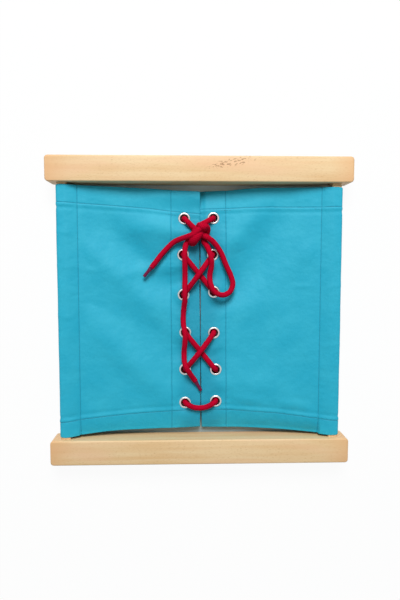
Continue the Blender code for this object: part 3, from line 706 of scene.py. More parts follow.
# %% The cloth's sizes
CLOTH_THICKNESS = 0.0008
SLEEVE_GAP = 0.0003
SEAM_GAP = 0.0002
SEAM_LINE_SETBACK = 0.0006
SEAM_LIFT = 0.0040
SLIT_WIDTH = 0.002
PLACKET_WIDTH = 0.029
PLACKET_LINE = {-1: 0.0293, 1: 0.0260}

eyelet_places = {-1: left_places, 1: right_places}
axis_height = box_middle("top_rail").z
inner_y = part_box("top_rail")[0].y
seam_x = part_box("right_flap")[1].x + SEAM_GAP
bar_low, bar_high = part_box("right_side_bar")
flap_width = seam_x - SLIT_WIDTH / 2
print("Seam at", round(seam_x, 4), "and flap", round(flap_width, 4), "m wide")

# %% [markdown]
# Cloth doesn't keep straight edges. Its top and bottom dip towards the slit, where nothing holds
# it, and the hems' stitch lines follow them. A Lattice could bend a straight sheet, but only
# roughly. Here each line has a few points, measured from the middle of the frame, and the grid is
# laid between them.

# %% Where the edges and the hem lines lie
CLOTH_EDGES = {
    (-1, 1): (
        (0, 0.1225), (0.029, 0.1236), (0.053, 0.1254), (0.085, 0.1266),
        (0.117, 0.1275), (0.139, 0.1281), (0.1425, 0.1275), (0.146, 0.1255),
    ),
    (1, 1): (
        (0, 0.1233), (0.028, 0.1239), (0.045, 0.1255), (0.061, 0.1265),
        (0.117, 0.1265), (0.139, 0.1262), (0.1425, 0.1256), (0.146, 0.1240),
    ),
    (-1, -1): (
        (0, 0.1222), (0.030, 0.1231), (0.080, 0.1237), (0.096, 0.1244),
        (0.121, 0.1268), (0.138, 0.1282), (0.1425, 0.1276), (0.146, 0.1250),
    ),
    (1, -1): (
        (0, 0.1232), (0.038, 0.1233), (0.063, 0.1241), (0.088, 0.1251),
        (0.121, 0.1276), (0.138, 0.1280), (0.1425, 0.1274), (0.146, 0.1250),
    ),
}
HEM_LINES = {
    (-1, 1): (
        (0, 0.1000), (0.030, 0.1025), (0.051, 0.1051),
        (0.067, 0.1063), (0.099, 0.1085), (0.146, 0.1109),
    ),
    (1, 1): (
        (0, 0.1048), (0.030, 0.1055), (0.047, 0.1064),
        (0.071, 0.1070), (0.119, 0.1065), (0.146, 0.1068),
    ),
    (-1, -1): (
        (0, 0.1030), (0.030, 0.1043), (0.061, 0.1057),
        (0.094, 0.1079), (0.127, 0.1108), (0.146, 0.1128),
    ),
    (1, -1): (
        (0, 0.1030), (0.030, 0.1035), (0.048, 0.1048),
        (0.080, 0.1066), (0.115, 0.1108), (0.146, 0.1130),
    ),
}


def height_on(points, x):
    """The y of a line that is given by a few (x, y) points, for x from the middle outwards."""
    return np.interp(x, [p[0] for p in points], [p[1] for p in points])


def edge_line(side, x, end):
    """The y of the cloth's top (end 1) or bottom (end -1) edge."""
    return end * height_on(CLOTH_EDGES[side, end], x)


def hem_width(side, end, x):
    """Distance from the cloth's edge to its hem's stitch line."""
    return height_on(CLOTH_EDGES[side, end], x) - height_on(HEM_LINES[side, end], x)


def hem_shares(side, x, y):
    """How far each point is from the bottom and the top edge, in hem widths."""
    bottom = (y - edge_line(side, x, -1)) / hem_width(side, -1, x)
    top = (edge_line(side, x, 1) - y) / hem_width(side, 1, x)
    return bottom, top


# %% The slit
SLIT_MIDDLE = 0.0002
SLIT_LEAN = 0.0008
SLIT_NARROW = 0.0002
SLIT_BOW = 0.00042
SLIT_BOW_SHARES = ((1.0, 0.034, 0.042), (0.7, -0.073, 0.008), (1.6, -0.120, 0.018))
SLIT_LAP = 0.0007
SLIT_LAP_DROP = 0.0019
SLIT_LAP_FROM = 0.071
SLIT_LAP_RISE = 0.006


def smooth_step(value):
    value = np.clip(value, 0, 1)
    return value * value * (3 - 2 * value)


def pulse(value, middle, width):
    """A bell: 1 at the middle, fading to 0 on both sides."""
    return np.exp(-(((value - middle) / width) ** 2))


def slit_line(y):
    return SLIT_MIDDLE - SLIT_LEAN * y / inner_y


def slit_lap(y):
    """1 above the knot, where the left edge lies over the right one, and 0 below it."""
    return smooth_step((y - SLIT_LAP_FROM) / SLIT_LAP_RISE)


def slit_opening(side, y):
    """How far each edge stands from the slit's middle. At the top the left one laps over the right."""
    bow = sum(share * pulse(y, middle, width) for share, middle, width in SLIT_BOW_SHARES)
    lap = SLIT_LAP * slit_lap(y) if side < 0 else 0
    return SLIT_NARROW + SLIT_BOW * bow - lap


# %% [markdown]
# A stitch line draws the cloth in over less than a millimetre, while most of the flap is smooth. An
# even grid fine enough for the stitches would have millions of faces. So rows and columns stand
# close together only beside the sewn lines and at the rounded edges.

# %% Columns and rows of the grid
GRID_STEP = 0.00125
LINE_STEPS = np.array([-1.5, -0.9, -0.6, -0.3, 0, 0.3, 0.6, 0.9, 1.5]) / 1000
LINE_ROOM = 0.0019
EDGE_STEPS = np.array([0, 0.04, 0.15, 0.35, 0.62, 1.0]) * CLOTH_THICKNESS
EDGE_ROOM = 0.0013
HEM_ZONE = 1.3
HEM_NOMINAL = 0.017
ROW_COUNT = 165


def stations(length, lines):
    """Distances from a rounded edge at 0 to length, closer together there and at the stitch lines."""
    even = np.linspace(0, length, round(length / GRID_STEP) + 1)
    kept = [d for d in even if all(abs(d - line) > LINE_ROOM for line in lines) and d > EDGE_ROOM]
    kept += list(EDGE_STEPS)
    for line in lines:
        kept += [d for d in line + LINE_STEPS if 0 <= d <= length]
    return np.unique(np.round(kept, 7))


def row_stations():
    """Rows as (share w, hem share c at the bottom, hem share c at the top)."""
    zone = stations(HEM_ZONE * HEM_NOMINAL, [HEM_NOMINAL]) / HEM_NOMINAL
    zone[-1] = HEM_ZONE
    rows = [(0.0, c, 0.0) for c in zone[:-1]]
    rows += [(w, HEM_ZONE * (1 - w), HEM_ZONE * w) for w in np.linspace(0, 1, ROW_COUNT)]
    rows += [(1.0, 0.0, c) for c in zone[-2::-1]]
    return np.array(rows)


rows = row_stations()
edge_shares = np.where(rows[:, 0] == 0, rows[:, 1], np.where(rows[:, 0] == 1, rows[:, 2], HEM_ZONE))
edge_run = np.clip(edge_shares * HEM_NOMINAL / CLOTH_THICKNESS, 0, 1)
row_round = np.sqrt(1 - (1 - edge_run) ** 2)
print(len(rows), "rows")


def row_y(side, x):
    """The y of each row at x, for an array of x."""
    low, high = edge_line(side, x, -1), edge_line(side, x, 1)
    w, bottom, top = rows[:, :1], rows[:, 1:2], rows[:, 2:]
    y = low * (1 - w) + high * w
    return y + bottom * hem_width(side, -1, x) - top * hem_width(side, 1, x)


# %% [markdown]
# The pull of the lace draws soft folds from the eyelets across each flap. They could be sculpted by
# hand, but then they couldn't be put right one by one. Each fold is a rounded ridge or a groove
# along a short line, and it fades out at the seam, at the slit and round the eyelets, where the
# metal presses the cloth flat.

# %% Folds
# Each fold runs from one (x, y) to another. Its height and its half width follow.
FOLDS = {
    -1: (
        (0.0135, 0.0225, 0.1225, 0.0975, -0.0023, 0.0172),
        (0.0000, -0.0610, 0.1075, 0.0145, -0.0023, 0.0166),
        (0.0035, 0.0785, 0.0735, 0.0910, 0.0020, 0.0112),
        (0.0215, 0.0115, 0.1090, 0.1080, -0.0025, 0.0142),
        (0.0150, -0.1080, 0.1230, 0.0010, 0.0023, 0.0127),
        (0.0440, 0.0015, 0.1230, 0.0725, 0.0022, 0.0103),
        (0.0025, 0.0215, 0.0745, 0.0295, -0.0014, 0.0115),
        (0.0100, 0.0860, 0.0680, 0.0835, 0.0020, 0.0133),
        (0.0010, 0.0505, 0.0750, 0.0400, 0.0017, 0.0074),
        (0.1040, 0.0420, 0.1190, 0.0450, 0.0005, 0.0036),
        (0.1000, 0.0060, 0.1200, 0.0110, -0.0005, 0.0042),
    ),
    1: (
        (0.0145, -0.0055, 0.0900, 0.1080, -0.0023, 0.0180),
        (0.0130, 0.0585, 0.0675, 0.1080, 0.0019, 0.0122),
        (0.0000, -0.0055, 0.0720, 0.0100, 0.0014, 0.0120),
        (0.0040, -0.0470, 0.0255, -0.0305, 0.0010, 0.0050),
        (0.0055, -0.0705, 0.0950, -0.0835, 0.0019, 0.0180),
        (0.0195, 0.0065, 0.0870, 0.1015, -0.0022, 0.0180),
        (0.0315, 0.0815, 0.0405, 0.0610, 0.0014, 0.0132),
        (0.0960, 0.0475, 0.1230, 0.0730, 0.0014, 0.0112),
        (0.0265, 0.0075, 0.0820, 0.0580, -0.0013, 0.0124),
        (0.0960, 0.0256, 0.1120, 0.0272, 0.0006, 0.0030),
        (0.0360, -0.0890, 0.0700, -0.0955, 0.0007, 0.0046),
        (0.0800, -0.0945, 0.1120, -0.0985, 0.0008, 0.0046),
    ),
}
FOLD_END_SHARE = 0.35
SEAM_FADE = 0.014
SLIT_FADE = 0.012
EYELET_FLAT = (0.0095, 0.0007)
EYELET_CALM = (0.0105, 0.0016)
BASINS = {-1: ((0.004, 0.0390), (0.006, -0.0400)), 1: ((0.006, 0.0390), (0.004, -0.0420))}
BASIN_DEPTH = 0.0020
BASIN_WIDTH = 0.0190
BASIN_HEIGHT = 0.0110


def near_eyelets(side, x, y, reach, fade):
    """1 under the eyelets, where the cloth lies flat, and 0 away from them."""
    flat = np.zeros(x.shape)
    for place in eyelet_places[side]:
        away = np.hypot(side * x - place.x, y - place.y)
        flat = np.maximum(flat, 1 / (1 + np.exp(np.minimum(60, (away - reach) / fade))))
    return flat


def fold_height(side, x, y):
    """The folds, highest half way along and lower at both ends, and the hollows between eyelets."""
    rise = np.zeros(x.shape)
    for x_1, y_1, x_2, y_2, height, width in FOLDS[side]:
        run = np.array([x_2 - x_1, y_2 - y_1])
        share = np.clip(((x - x_1) * run[0] + (y - y_1) * run[1]) / (run @ run), 0, 1)
        away = np.hypot(x - x_1 - run[0] * share, y - y_1 - run[1] * share)
        swell = FOLD_END_SHARE + (1 - FOLD_END_SHARE) * np.sin(math.pi * share)
        rise += height * swell * pulse(away, 0, width)
    for x_0, y_0 in BASINS[side]:
        rise -= BASIN_DEPTH * pulse(x, x_0, BASIN_WIDTH) * pulse(y, y_0, BASIN_HEIGHT)
    rise *= 1 - near_eyelets(side, x, y, *EYELET_CALM)
    return rise * smooth_step((seam_x - x) / SEAM_FADE) * (0.5 + 0.5 * smooth_step(x / SLIT_FADE))


# %% Corners at the slit
WASHER_DIAMETER = 0.0132
BOTTOM_CORNER_SLOPE = {-1: -0.10, 1: -0.14}
BOTTOM_CORNER_WIDTH = 0.060
BOTTOM_CORNER_CURVE = 1.5
TOP_CORNER = {-1: 0.0026, 1: -0.0056}
LEFT_CORNER_FROM = 0.1035
LEFT_CORNER_RISE = 0.0150
LEFT_CORNER_REACH = 0.075
LEFT_CORNER_FADE = 0.045
RIGHT_CORNER_WIDTH = 0.048
RIGHT_CORNER_CURVE = 1.3
LAP_REACH = 0.0066
LAP_FADE = 0.0056
HEM_LEAN = {-1: (0.0016, 0.0002), 1: (0.0040, 0.0)}
HEM_LEAN_ZONE = 1.15
HEM_LEAN_RUN = 0.05


def corner_height(side, x, y):
    """The bottom corners sag, the left top one stands up, and the right one droops under the lap."""
    places = eyelet_places[side]
    begin = WASHER_DIAMETER / 2 - places[5].y
    room = np.maximum(1e-6, -edge_line(side, x, -1) - begin)
    inward = np.maximum(0, 1 - x / BOTTOM_CORNER_WIDTH)
    past = np.maximum(0, -y - begin) / room
    rise = BOTTOM_CORNER_SLOPE[side] * room * past**BOTTOM_CORNER_CURVE * inward**2
    if side < 0:
        step = smooth_step((y - LEFT_CORNER_FROM) / LEFT_CORNER_RISE)
        return rise + TOP_CORNER[side] * step * smooth_step((LEFT_CORNER_REACH - x) / LEFT_CORNER_FADE)
    begin = places[0].y + WASHER_DIAMETER / 2
    past = np.maximum(0, y - begin) / np.maximum(1e-6, edge_line(side, x, 1) - begin)
    inward = np.maximum(0, 1 - x / RIGHT_CORNER_WIDTH)
    rise -= SLIT_LAP_DROP * slit_lap(y) * smooth_step((LAP_REACH - x) / LAP_FADE)
    return rise + TOP_CORNER[side] * past**RIGHT_CORNER_CURVE * inward**RIGHT_CORNER_CURVE


def hem_lean(side, x, c_bottom, c_top):
    """The hems tip down a little towards their edges."""
    foot, head = HEM_LEAN[side]
    outer = np.clip(x / HEM_LEAN_RUN, 0, 1)
    rise = -foot * np.clip(HEM_LEAN_ZONE - c_bottom, 0, 1) ** 2 * (0.4 + 0.6 * outer)
    return rise - head * np.clip(HEM_LEAN_ZONE - c_top, 0, 1) ** 2 * outer


# %% [markdown]
# Sewing shortens cloth a little, so it puckers in small waves beside each line, and canvas that was
# never ironed is uneven all over. Bump in the material alone would leave the mesh flat, and its
# outline with it. Sums of sines with unlike wavelengths give waves that never seem to repeat, and
# they are the same each time the script runs.

# %% Puckers and unevenness
# For each sewn line: the puckers' reach, height, wavelength and phase.
PUCKERS = {
    "bottom": (0.0075, 0.00026, 0.0125, 0.7),
    "top": (0.0075, 0.00026, 0.0145, 1.9),
    "placket": (0.005, 0.00009, 0.0063, 0.4),
    "seam": (0.005, 0.00007, 0.0093, 2.3),
}
UNEVENNESS = 0.00020


def pucker(along, away, reach, height, wave, phase):
    """Small waves along a sewn line, which fade with the distance away from it."""
    wobble = 2.6 * np.sin(along / (1.3 * wave) + phase) + 1.9 * np.sin(along / (3.7 * wave) + 2 * phase)
    swell = 0.55 + 0.45 * np.sin(along / (2.3 * wave) + 5 * phase)
    return height * swell * np.sin(math.tau * along / wave + wobble) * pulse(away, 0, reach)


def unevenness(x, y, phase):
    """Slow, shallow waves of cloth that was never ironed flat."""
    waves = np.sin(61 * x + 23 * y + phase) * np.sin(47 * y - 19 * x + 2 * phase)
    waves += 0.6 * np.sin(137 * x - 83 * y + 3 * phase) * np.sin(29 * x + 101 * y + phase)
    return waves


def flap_waves(side, across, x, y, near):
    """All the small waves of a flap. The placket's double cloth is stiffer and shows the least."""
    waves = UNEVENNESS * unevenness(x, y, 1.3 + side) * np.clip(across * 5, 0.12, 1)
    for line, (reach, height, wave, phase) in PUCKERS.items():
        along = x if line in ("bottom", "top") else y
        waves += pucker(along, near[line], reach, height, wave, phase * side)
    return waves


# %% [markdown]
# The lace presses on the cloth where it runs over it, and lifts it where it runs behind. Instead of
# letting a simulation push them apart, the cloth's height is held below each front run and above
# each back run, by the lace's own radius.

# %% Room for the lace
LACE_PROBE_STEP = 0.0015
LEVEL_MARGIN = 0.0003
LACE_CLEARANCE = 0.0001

lace_points = np.concatenate([even_line(line, LACE_PROBE_STEP)[0] for line in lace_lines])
over_points = lace_points[lace_points[:, 2] > cloth_level - LEVEL_MARGIN]
under_points = lace_points[lace_points[:, 2] < back_level + LEVEL_MARGIN]
print(len(over_points), "points of lace over the cloth and", len(under_points), "behind it")


def clear_of_lace(side, x, y, top, thick):
    """Keeps the cloth under the lace's front runs and over its back runs."""
    radius = LACE_FULL_DIAMETER / 2 + LACE_CLEARANCE
    for point in over_points:
        away = (side * x - point[0]) ** 2 + (y - point[1]) ** 2
        top = np.minimum(top, point[2] - radius + away / (2 * radius))
    for point in under_points:
        away = (side * x - point[0]) ** 2 + (y - point[1]) ** 2
        top = np.maximum(top, point[2] + radius - away / (2 * radius) + thick)
    return top


# %% [markdown]
# A sewn line is a narrow groove where the thread pulls the layers together. Beside it the hidden
# edge of the turned-back cloth shows as a soft ridge and a step. Cloth also gets thicker wherever it
# lies double. A Displace modifier could press all that in from a picture, but the scene uses no
# picture files. So it is worked out and added to the flap's two faces, point by point.

# %% Sewn lines and layers
STITCH_DEPTH = 0.0003
STITCH_GROOVE = 0.00038
HEM_RIDGE = 0.0003
HEM_RIDGE_PLACE = (0.0018, 0.0013)
HEM_STEP = 0.00035
HEM_STEP_PLACE = (0.0052, 0.0017)
SEAM_ALLOWANCE = 0.004
LAYER_STEP = 0.0006
HEM_LAYER_END = 1.14
HEM_LAYER_FADE = 0.04


def line_distances(side, d, c_bottom, c_top, x):
    """How far each point is from each stitch line."""
    return {
        "placket": np.abs(d - PLACKET_LINE[side]),
        "seam": np.abs(d - (flap_width - SEAM_LINE_SETBACK)),
        "bottom": np.abs(c_bottom - 1) * hem_width(side, -1, x),
        "top": np.abs(c_top - 1) * hem_width(side, 1, x),
    }


def hem_ridge(past):
    """The cloth's height past a stitch line: a soft ridge, then a step down off the hidden edge."""
    return HEM_RIDGE * pulse(past, *HEM_RIDGE_PLACE) - HEM_STEP * pulse(past, *HEM_STEP_PLACE)


def layers_at(d, c_bottom, c_top):
    """How many layers of cloth lie on each other: two in the placket, the hems and the seam."""
    placket = np.clip((PLACKET_WIDTH + LAYER_STEP - d) / LAYER_STEP, 0, 1)
    seam = np.clip((d - (flap_width - SEAM_ALLOWANCE - LAYER_STEP)) / LAYER_STEP, 0, 1)
    bottom = np.clip((HEM_LAYER_END - c_bottom) / HEM_LAYER_FADE, 0, 1)
    top = np.clip((HEM_LAYER_END - c_top) / HEM_LAYER_FADE, 0, 1)
    return 1 + np.maximum(np.maximum(placket, seam), np.maximum(bottom, top))


# %% The flap's top and bottom
PLACKET_DROP = 0.0038
RISE_POWER = 1.5
SEAM_CALM = 0.004


def flap_grid(side):
    """Each column's distance d from the slit along the cloth, and each point's x and y."""
    d = stations(flap_width, [PLACKET_LINE[side], flap_width - SEAM_LINE_SETBACK])
    y = row_y(side, d[None, :])
    edge = side * slit_line(y) + slit_opening(side, y)
    return d, edge + d[None, :] * (seam_x - edge) / flap_width, y


def flap_surface(side):
    """The flap's columns, x, y, upper and lower face, and how deep each point is in a stitch line."""
    d, x, y = flap_grid(side)
    wide = d[None, :] + 0 * y
    c_bottom, c_top = hem_shares(side, wide, y)
    across = np.maximum(0, (wide - PLACKET_WIDTH) / (flap_width - PLACKET_WIDTH))
    near = line_distances(side, wide, c_bottom, c_top, x)
    flat = near_eyelets(side, x, y, *EYELET_FLAT)
    rise = (PLACKET_DROP + SEAM_LIFT) * across**RISE_POWER + fold_height(side, x, y)
    rise += corner_height(side, x, y) + hem_lean(side, x, c_bottom, c_top)
    detail = flap_waves(side, across, x, y, near)
    detail *= np.clip((flap_width - d) / SEAM_CALM, 0, 1)[None, :] * (1 - flat)
    for end, c in ((-1, c_bottom), (1, c_top)):
        detail += hem_ridge((c - 1) * hem_width(side, end, x)) * (1 - 0.5 * flat)
    detail += 0.5 * hem_ridge(wide - PLACKET_LINE[side]) * (1 - flat)
    groove = np.max([pulse(away, 0, STITCH_GROOVE) for away in near.values()], axis=0)
    thick = CLOTH_THICKNESS * layers_at(wide, c_bottom, c_top)
    face = clear_of_lace(side, x, y, placket_top + rise + detail, thick)
    return d, x, y, face - STITCH_DEPTH * groove, face - thick + STITCH_DEPTH * groove, groove


# %% [markdown]
# The sleeve is the same cloth, pulled round the bar: flat on the bar's faces, rounded at its edges
# and slanting in to the seam on the inner side. An extruded outline would be as straight as a pipe.
# The outline is run along the bar row by row instead, so that hems, puckers and creases cross it.

# %% The sleeve's section round the bar
SLEEVE_ROUNDNESS = 1.2
SLOPE_COUNT = 14
FACE_COUNT = 5
BEND_COUNT = 6


def spaced_line(start, end, count):
    return [tuple(np.array(start) + (np.array(end) - np.array(start)) * k / count) for k in range(count)]


def spaced_arc(corner, radius, first, last, count):
    angles = [first + (last - first) * k / count for k in range(count)]
    return [(corner[0] + radius * math.cos(a), corner[1] + radius * math.sin(a)) for a in angles]


def half_outline(grow, nose):
    """From the nose over the bar's inner edge and top, and half way down its outer side."""
    rise = (bar_high.z - bar_low.z) / 2 - BAR_EDGE_RADIUS
    inner = (bar_low.x + BAR_EDGE_RADIUS, rise)
    outer = (bar_high.x - BAR_EDGE_RADIUS, rise)
    radius = BAR_EDGE_RADIUS + grow
    half = []
    for share in [k / SLOPE_COUNT for k in range(SLOPE_COUNT)]:
        climb = 1 - (1 - share) ** SLEEVE_ROUNDNESS
        half.append((nose[0] + (inner[0] - nose[0]) * share, nose[1] + (rise + radius - nose[1]) * climb))
    half += spaced_line((inner[0], rise + radius), (outer[0], rise + radius), FACE_COUNT)
    half += spaced_arc(outer, radius, math.pi / 2, 0, BEND_COUNT)
    return half + spaced_line((outer[0] + radius, rise), (outer[0] + radius, 0), FACE_COUNT)


def sleeve_outline(grow, top_nose, foot_nose):
    """The cloth's section from its upper nose over the bar, down and back to its lower nose."""
    upper = half_outline(grow, top_nose)
    lower = [(x, -z) for x, z in half_outline(grow, (foot_nose[0], -foot_nose[1]))[::-1]]
    return np.array(upper + [(upper[-1][0], 0)] + lower)


top_nose, foot_nose = (seam_x, SEAM_LIFT + CLOTH_THICKNESS), (seam_x, SEAM_LIFT - CLOTH_THICKNESS)
outside = sleeve_outline(SLEEVE_GAP + CLOTH_THICKNESS, top_nose, foot_nose)
apex = (seam_x + SEAM_GAP + CLOTH_THICKNESS / 2, SEAM_LIFT)
inside = sleeve_outline(SLEEVE_GAP, apex, apex)
print(len(outside), "columns round the sleeve")

# %% The sleeve's surfaces
SLEEVE_CREASES = {-1: (0.0795, 0.0450, -0.0045), 1: (0.0260, -0.0350)}
CREASE_HEIGHT = 0.0003
CREASE_WIDTH = 0.0030
CREASE_PLACE = (0.013, 0.009)
CREASE_SLANT = 0.1
SLEEVE_PUCKERS = (0.006, 0.00010, 0.0093)
SLEEVE_UNEVENNESS = 0.00012
SEAM_HOLD = 0.003


def outward(outline):
    """The direction out of a closed section at each of its points."""
    away = np.gradient(outline, axis=0)
    normal = np.stack([away[:, 1], -away[:, 0]], axis=1)
    normal /= np.linalg.norm(normal, axis=1, keepdims=True)
    centre = outline.mean(axis=0)
    return normal if ((outline - centre) * normal).sum() > 0 else -normal


def sleeve_surface(side, outline, shows):
    """The sleeve's grid. The outside shows (1) puckers, creases and stitch lines, the inside (0) none."""
    x = outline[None, :, 0] + np.zeros((len(rows), 1))
    y = row_y(side, outline[:, 0][None, :])
    z = axis_height + outline[None, :, 1] + 0 * y
    c_bottom, c_top = hem_shares(side, x, y)
    run = runs_along(outline)
    ends = np.minimum(run, run[-1] - run)[None, :]
    hold = np.clip(ends / SEAM_HOLD, 0, 1)
    detail = pucker(y, ends, *SLEEVE_PUCKERS, 1.1 * side) * hold
    for crease in SLEEVE_CREASES[side]:
        slanted = pulse(y - CREASE_SLANT * ends, crease, CREASE_WIDTH)
        detail = detail + hold * CREASE_HEIGHT * slanted * pulse(run, *CREASE_PLACE)
    detail = detail + hold * SLEEVE_UNEVENNESS * unevenness(1.7 * run[None, :], y, 2.1 + side)
    from_bottom = (c_bottom - 1) * hem_width(side, -1, x)
    from_top = (c_top - 1) * hem_width(side, 1, x)
    detail = detail + hold * (hem_ridge(from_bottom) + hem_ridge(from_top))
    groove = pulse(np.minimum(np.abs(from_bottom), np.abs(from_top)), 0, STITCH_GROOVE) * hold
    push = (detail - STITCH_DEPTH * groove) * shows
    normal = outward(outline)
    return x + normal[None, :, 0] * push, y, z + normal[None, :, 1] * push, run, groove * shows


# %% [markdown]
# Flap and sleeve have to be one closed cloth, or light would leak in at the seam and the exported
# mesh would have open edges. Their grids share the points along the seam, the two faces are drawn
# together in a round at every cut edge, and doubled points are merged. The eyelets' holes are cut
# last, with a Boolean.


# %% One closed cloth
HOLE_RADIUS = 0.0048
HOLE_CUT_DEPTH = 0.02


def stacked(x, y, z):
    return np.stack([x, y, z], axis=-1)


def rounded_pair(top, bottom, middle, share):
    """Draws two facing surfaces together at an edge, to where they meet in the middle."""
    return middle + (top - middle) * share[..., None], middle + (bottom - middle) * share[..., None]


def cloth_patches(side):
    """The flap's two faces and the sleeve's two, each with its distance round the cloth and grooves."""
    d, x, y, z_top, z_bottom, groove = flap_surface(side)
    top, bottom = stacked(x, y, z_top), stacked(x, y, z_bottom)
    middle = (top + bottom) / 2
    middle[:, -1] = stacked(apex[0] + 0 * y[:, -1], y[:, -1], axis_height + apex[1] + 0 * y[:, -1])
    slit_run = np.clip(d / CLOTH_THICKNESS, 0, 1)
    share = row_round[:, None] * np.sqrt(1 - (1 - slit_run) ** 2)[None, :]
    top, bottom = rounded_pair(top, bottom, middle, share)
    ox, oy, oz, run, sleeve_groove = sleeve_surface(side, outside, 1)
    ix, iy, iz, _, _ = sleeve_surface(side, inside, 0)
    outer, inner = stacked(ox, oy, oz), stacked(ix, iy, iz)
    wall = (outer + inner) / 2
    wall[:, 0] = wall[:, -1] = middle[:, -1]
    inner[:, 0] = inner[:, -1] = middle[:, -1]
    outer, inner = rounded_pair(outer, inner, wall, row_round[:, None] + 0 * oy)
    outer[:, 0], outer[:, -1] = top[:, -1], bottom[:, -1]
    u_sleeve = flap_width + run
    u_bottom = flap_width + run[-1] + (flap_width - d)
    return (
        (top, d, groove),
        (bottom[:, ::-1], u_bottom[::-1], groove[:, ::-1]),
        (outer, u_sleeve, sleeve_groove),
        (inner, u_sleeve, 0 * sleeve_groove),
    )


def quad_corners(grid):
    """For each quad of a grid, what the grid holds at its four corners."""
    return np.stack([grid[:-1, :-1], grid[:-1, 1:], grid[1:, 1:], grid[1:, :-1]], axis=2)


def patch_mesh(name, side, patches):
    """Joins the patches into one mesh with a UV map in metres and the grooves as an attribute."""
    points, faces, uvs, grooves = [], [], [], []
    first = 0
    for grid, u, groove in patches:
        count_rows, count = grid.shape[:2]
        ids = first + np.arange(count_rows * count).reshape(count_rows, count)
        uv = np.stack([u[None, :] + 0 * grid[..., 1], grid[..., 1]], axis=-1)
        faces.append(quad_corners(ids).reshape(-1, 4))
        uvs.append(quad_corners(uv).reshape(-1, 2))
        points.append((grid * (side, 1, 1)).reshape(-1, 3))
        grooves.append(groove.reshape(-1))
        first += count_rows * count
    obj = mesh_object(name, np.concatenate(points), np.concatenate(faces).tolist())
    obj.data.uv_layers.new(name="cloth").data.foreach_set("uv", np.concatenate(uvs).reshape(-1))
    mark = obj.data.attributes.new("groove", "FLOAT", "POINT")
    mark.data.foreach_set("value", np.concatenate(grooves))
    return obj


def weld(obj):
    """Merges doubled points and turns all faces outwards."""
    bm = bmesh.new()
    bm.from_mesh(obj.data)
    bmesh.ops.remove_doubles(bm, verts=bm.verts, dist=1e-6)
    bmesh.ops.dissolve_degenerate(bm, edges=bm.edges, dist=1e-7)
    bmesh.ops.recalc_face_normals(bm, faces=bm.faces)
    loose = sum(1 for edge in bm.edges if len(edge.link_faces) != 2)
    volume = round(bm.calc_volume() * 1e6, 2)
    bm.to_mesh(obj.data)
    bm.free()
    print(obj.name, len(obj.data.polygons), "faces,", loose, "open edges, volume", volume, "ml")


def eyelet_cutters(side):
    only()
    made = []
    for place in eyelet_places[side]:
        bpy.ops.mesh.primitive_cylinder_add(
            vertices=48, radius=HOLE_RADIUS, depth=HOLE_CUT_DEPTH, location=(*place, barrel_middle)
        )
        made.append(bpy.context.object)
    only(*made)
    bpy.ops.object.join()
    return settle(bpy.context.object)


def bend_at_seam(obj):
    """Takes the piece's place and turn into its mesh."""
    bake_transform(obj)


cloths, cloth_grids = {}, {}
for label, side in (("left", -1), ("right", 1)):
    patches = cloth_patches(side)
    cloth = patch_mesh(f"{label}_cloth", side, patches)
    weld(cloth)
    cut_away(cloth, eyelet_cutters(side))
    cloth.data.shade_smooth()
    bend_at_seam(cloth)
    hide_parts(f"{label}_sleeve", f"{label}_flap")
    cloths[side], cloth_grids[side] = cloth, patches


# %% [markdown]
# Sewing thread shows as a row of short stitches. A line drawn in the material would lie flat, so
# each stitch is a small stretched ball with a few faces. It is made once and copied along the grid
# lines that the seams follow, on the front and on the back.

# %% One stitch
STITCH_PITCH = 0.0030
STITCH_SIZE = (0.0024, 0.00046, 0.00040)
STITCH_LIFT = 0.00004
STITCH_AIM = 0.0006
STITCH_TRIM = 0.002

only()
bpy.ops.mesh.primitive_uv_sphere_add(segments=8, ring_count=6, radius=0.5, scale=STITCH_SIZE)
stitch = named(settle(bpy.context.object), "stitch")
stitch_points = np.array([v.co for v in stitch.data.vertices])
stitch_faces = [list(p.vertices) for p in stitch.data.polygons]
bpy.data.objects.remove(stitch)
print("A stitch has", len(stitch_faces), "faces")

# %% The sewn lines
# Short rows that were sewn twice beside the hem: each from one x to another, at its y.
BACKTACKS = {
    -1: ((0.0225, 0.0375, 0.0985),),
    1: ((0.0190, 0.0345, 0.1030), (0.1130, 0.1215, 0.1045)),
}


def grid_normals(grid):
    normal = np.cross(np.gradient(grid, axis=1), np.gradient(grid, axis=0))
    length = np.linalg.norm(normal, axis=-1, keepdims=True)
    return normal / np.maximum(length, 1e-12)


def stitch_rows(side):
    """For each sewn line, its points and the cloth's outward directions there."""
    (top, d, _), (bottom, _, _), (outer, _, _), _ = cloth_grids[side]
    bottom = bottom[:, ::-1]
    up, down, sleeve_up = grid_normals(top), grid_normals(bottom), grid_normals(outer)
    up *= np.sign(up[..., 2:3])
    down *= -np.sign(down[..., 2:3])
    if sleeve_up[len(rows) // 2, outer.shape[1] // 3, 2] < 0:
        sleeve_up = -sleeve_up
    lines = []
    for line in (PLACKET_LINE[side], flap_width - SEAM_LINE_SETBACK):
        column = int(np.argmin(np.abs(d - line)))
        lines += [(top[:, column], up[:, column]), (bottom[:, column], down[:, column])]
    for shares in (rows[:, 1] * (rows[:, 0] == 0), rows[:, 2] * (rows[:, 0] == 1)):
        row = int(np.argmin(np.abs(shares - 1)))
        points = np.concatenate([top[row], outer[row, 1:-1], bottom[row, ::-1]])
        out = np.concatenate([up[row], sleeve_up[row, 1:-1], down[row, ::-1]])
        lines.append((points, out))
    for x_1, x_2, y in BACKTACKS[side]:
        row = int(np.argmin(np.abs(top[:, np.argmin(np.abs(d - x_1)), 1] - y)))
        run = (d > x_1) & (d < x_2)
        lines.append((top[row, run], up[row, run]))
    return lines


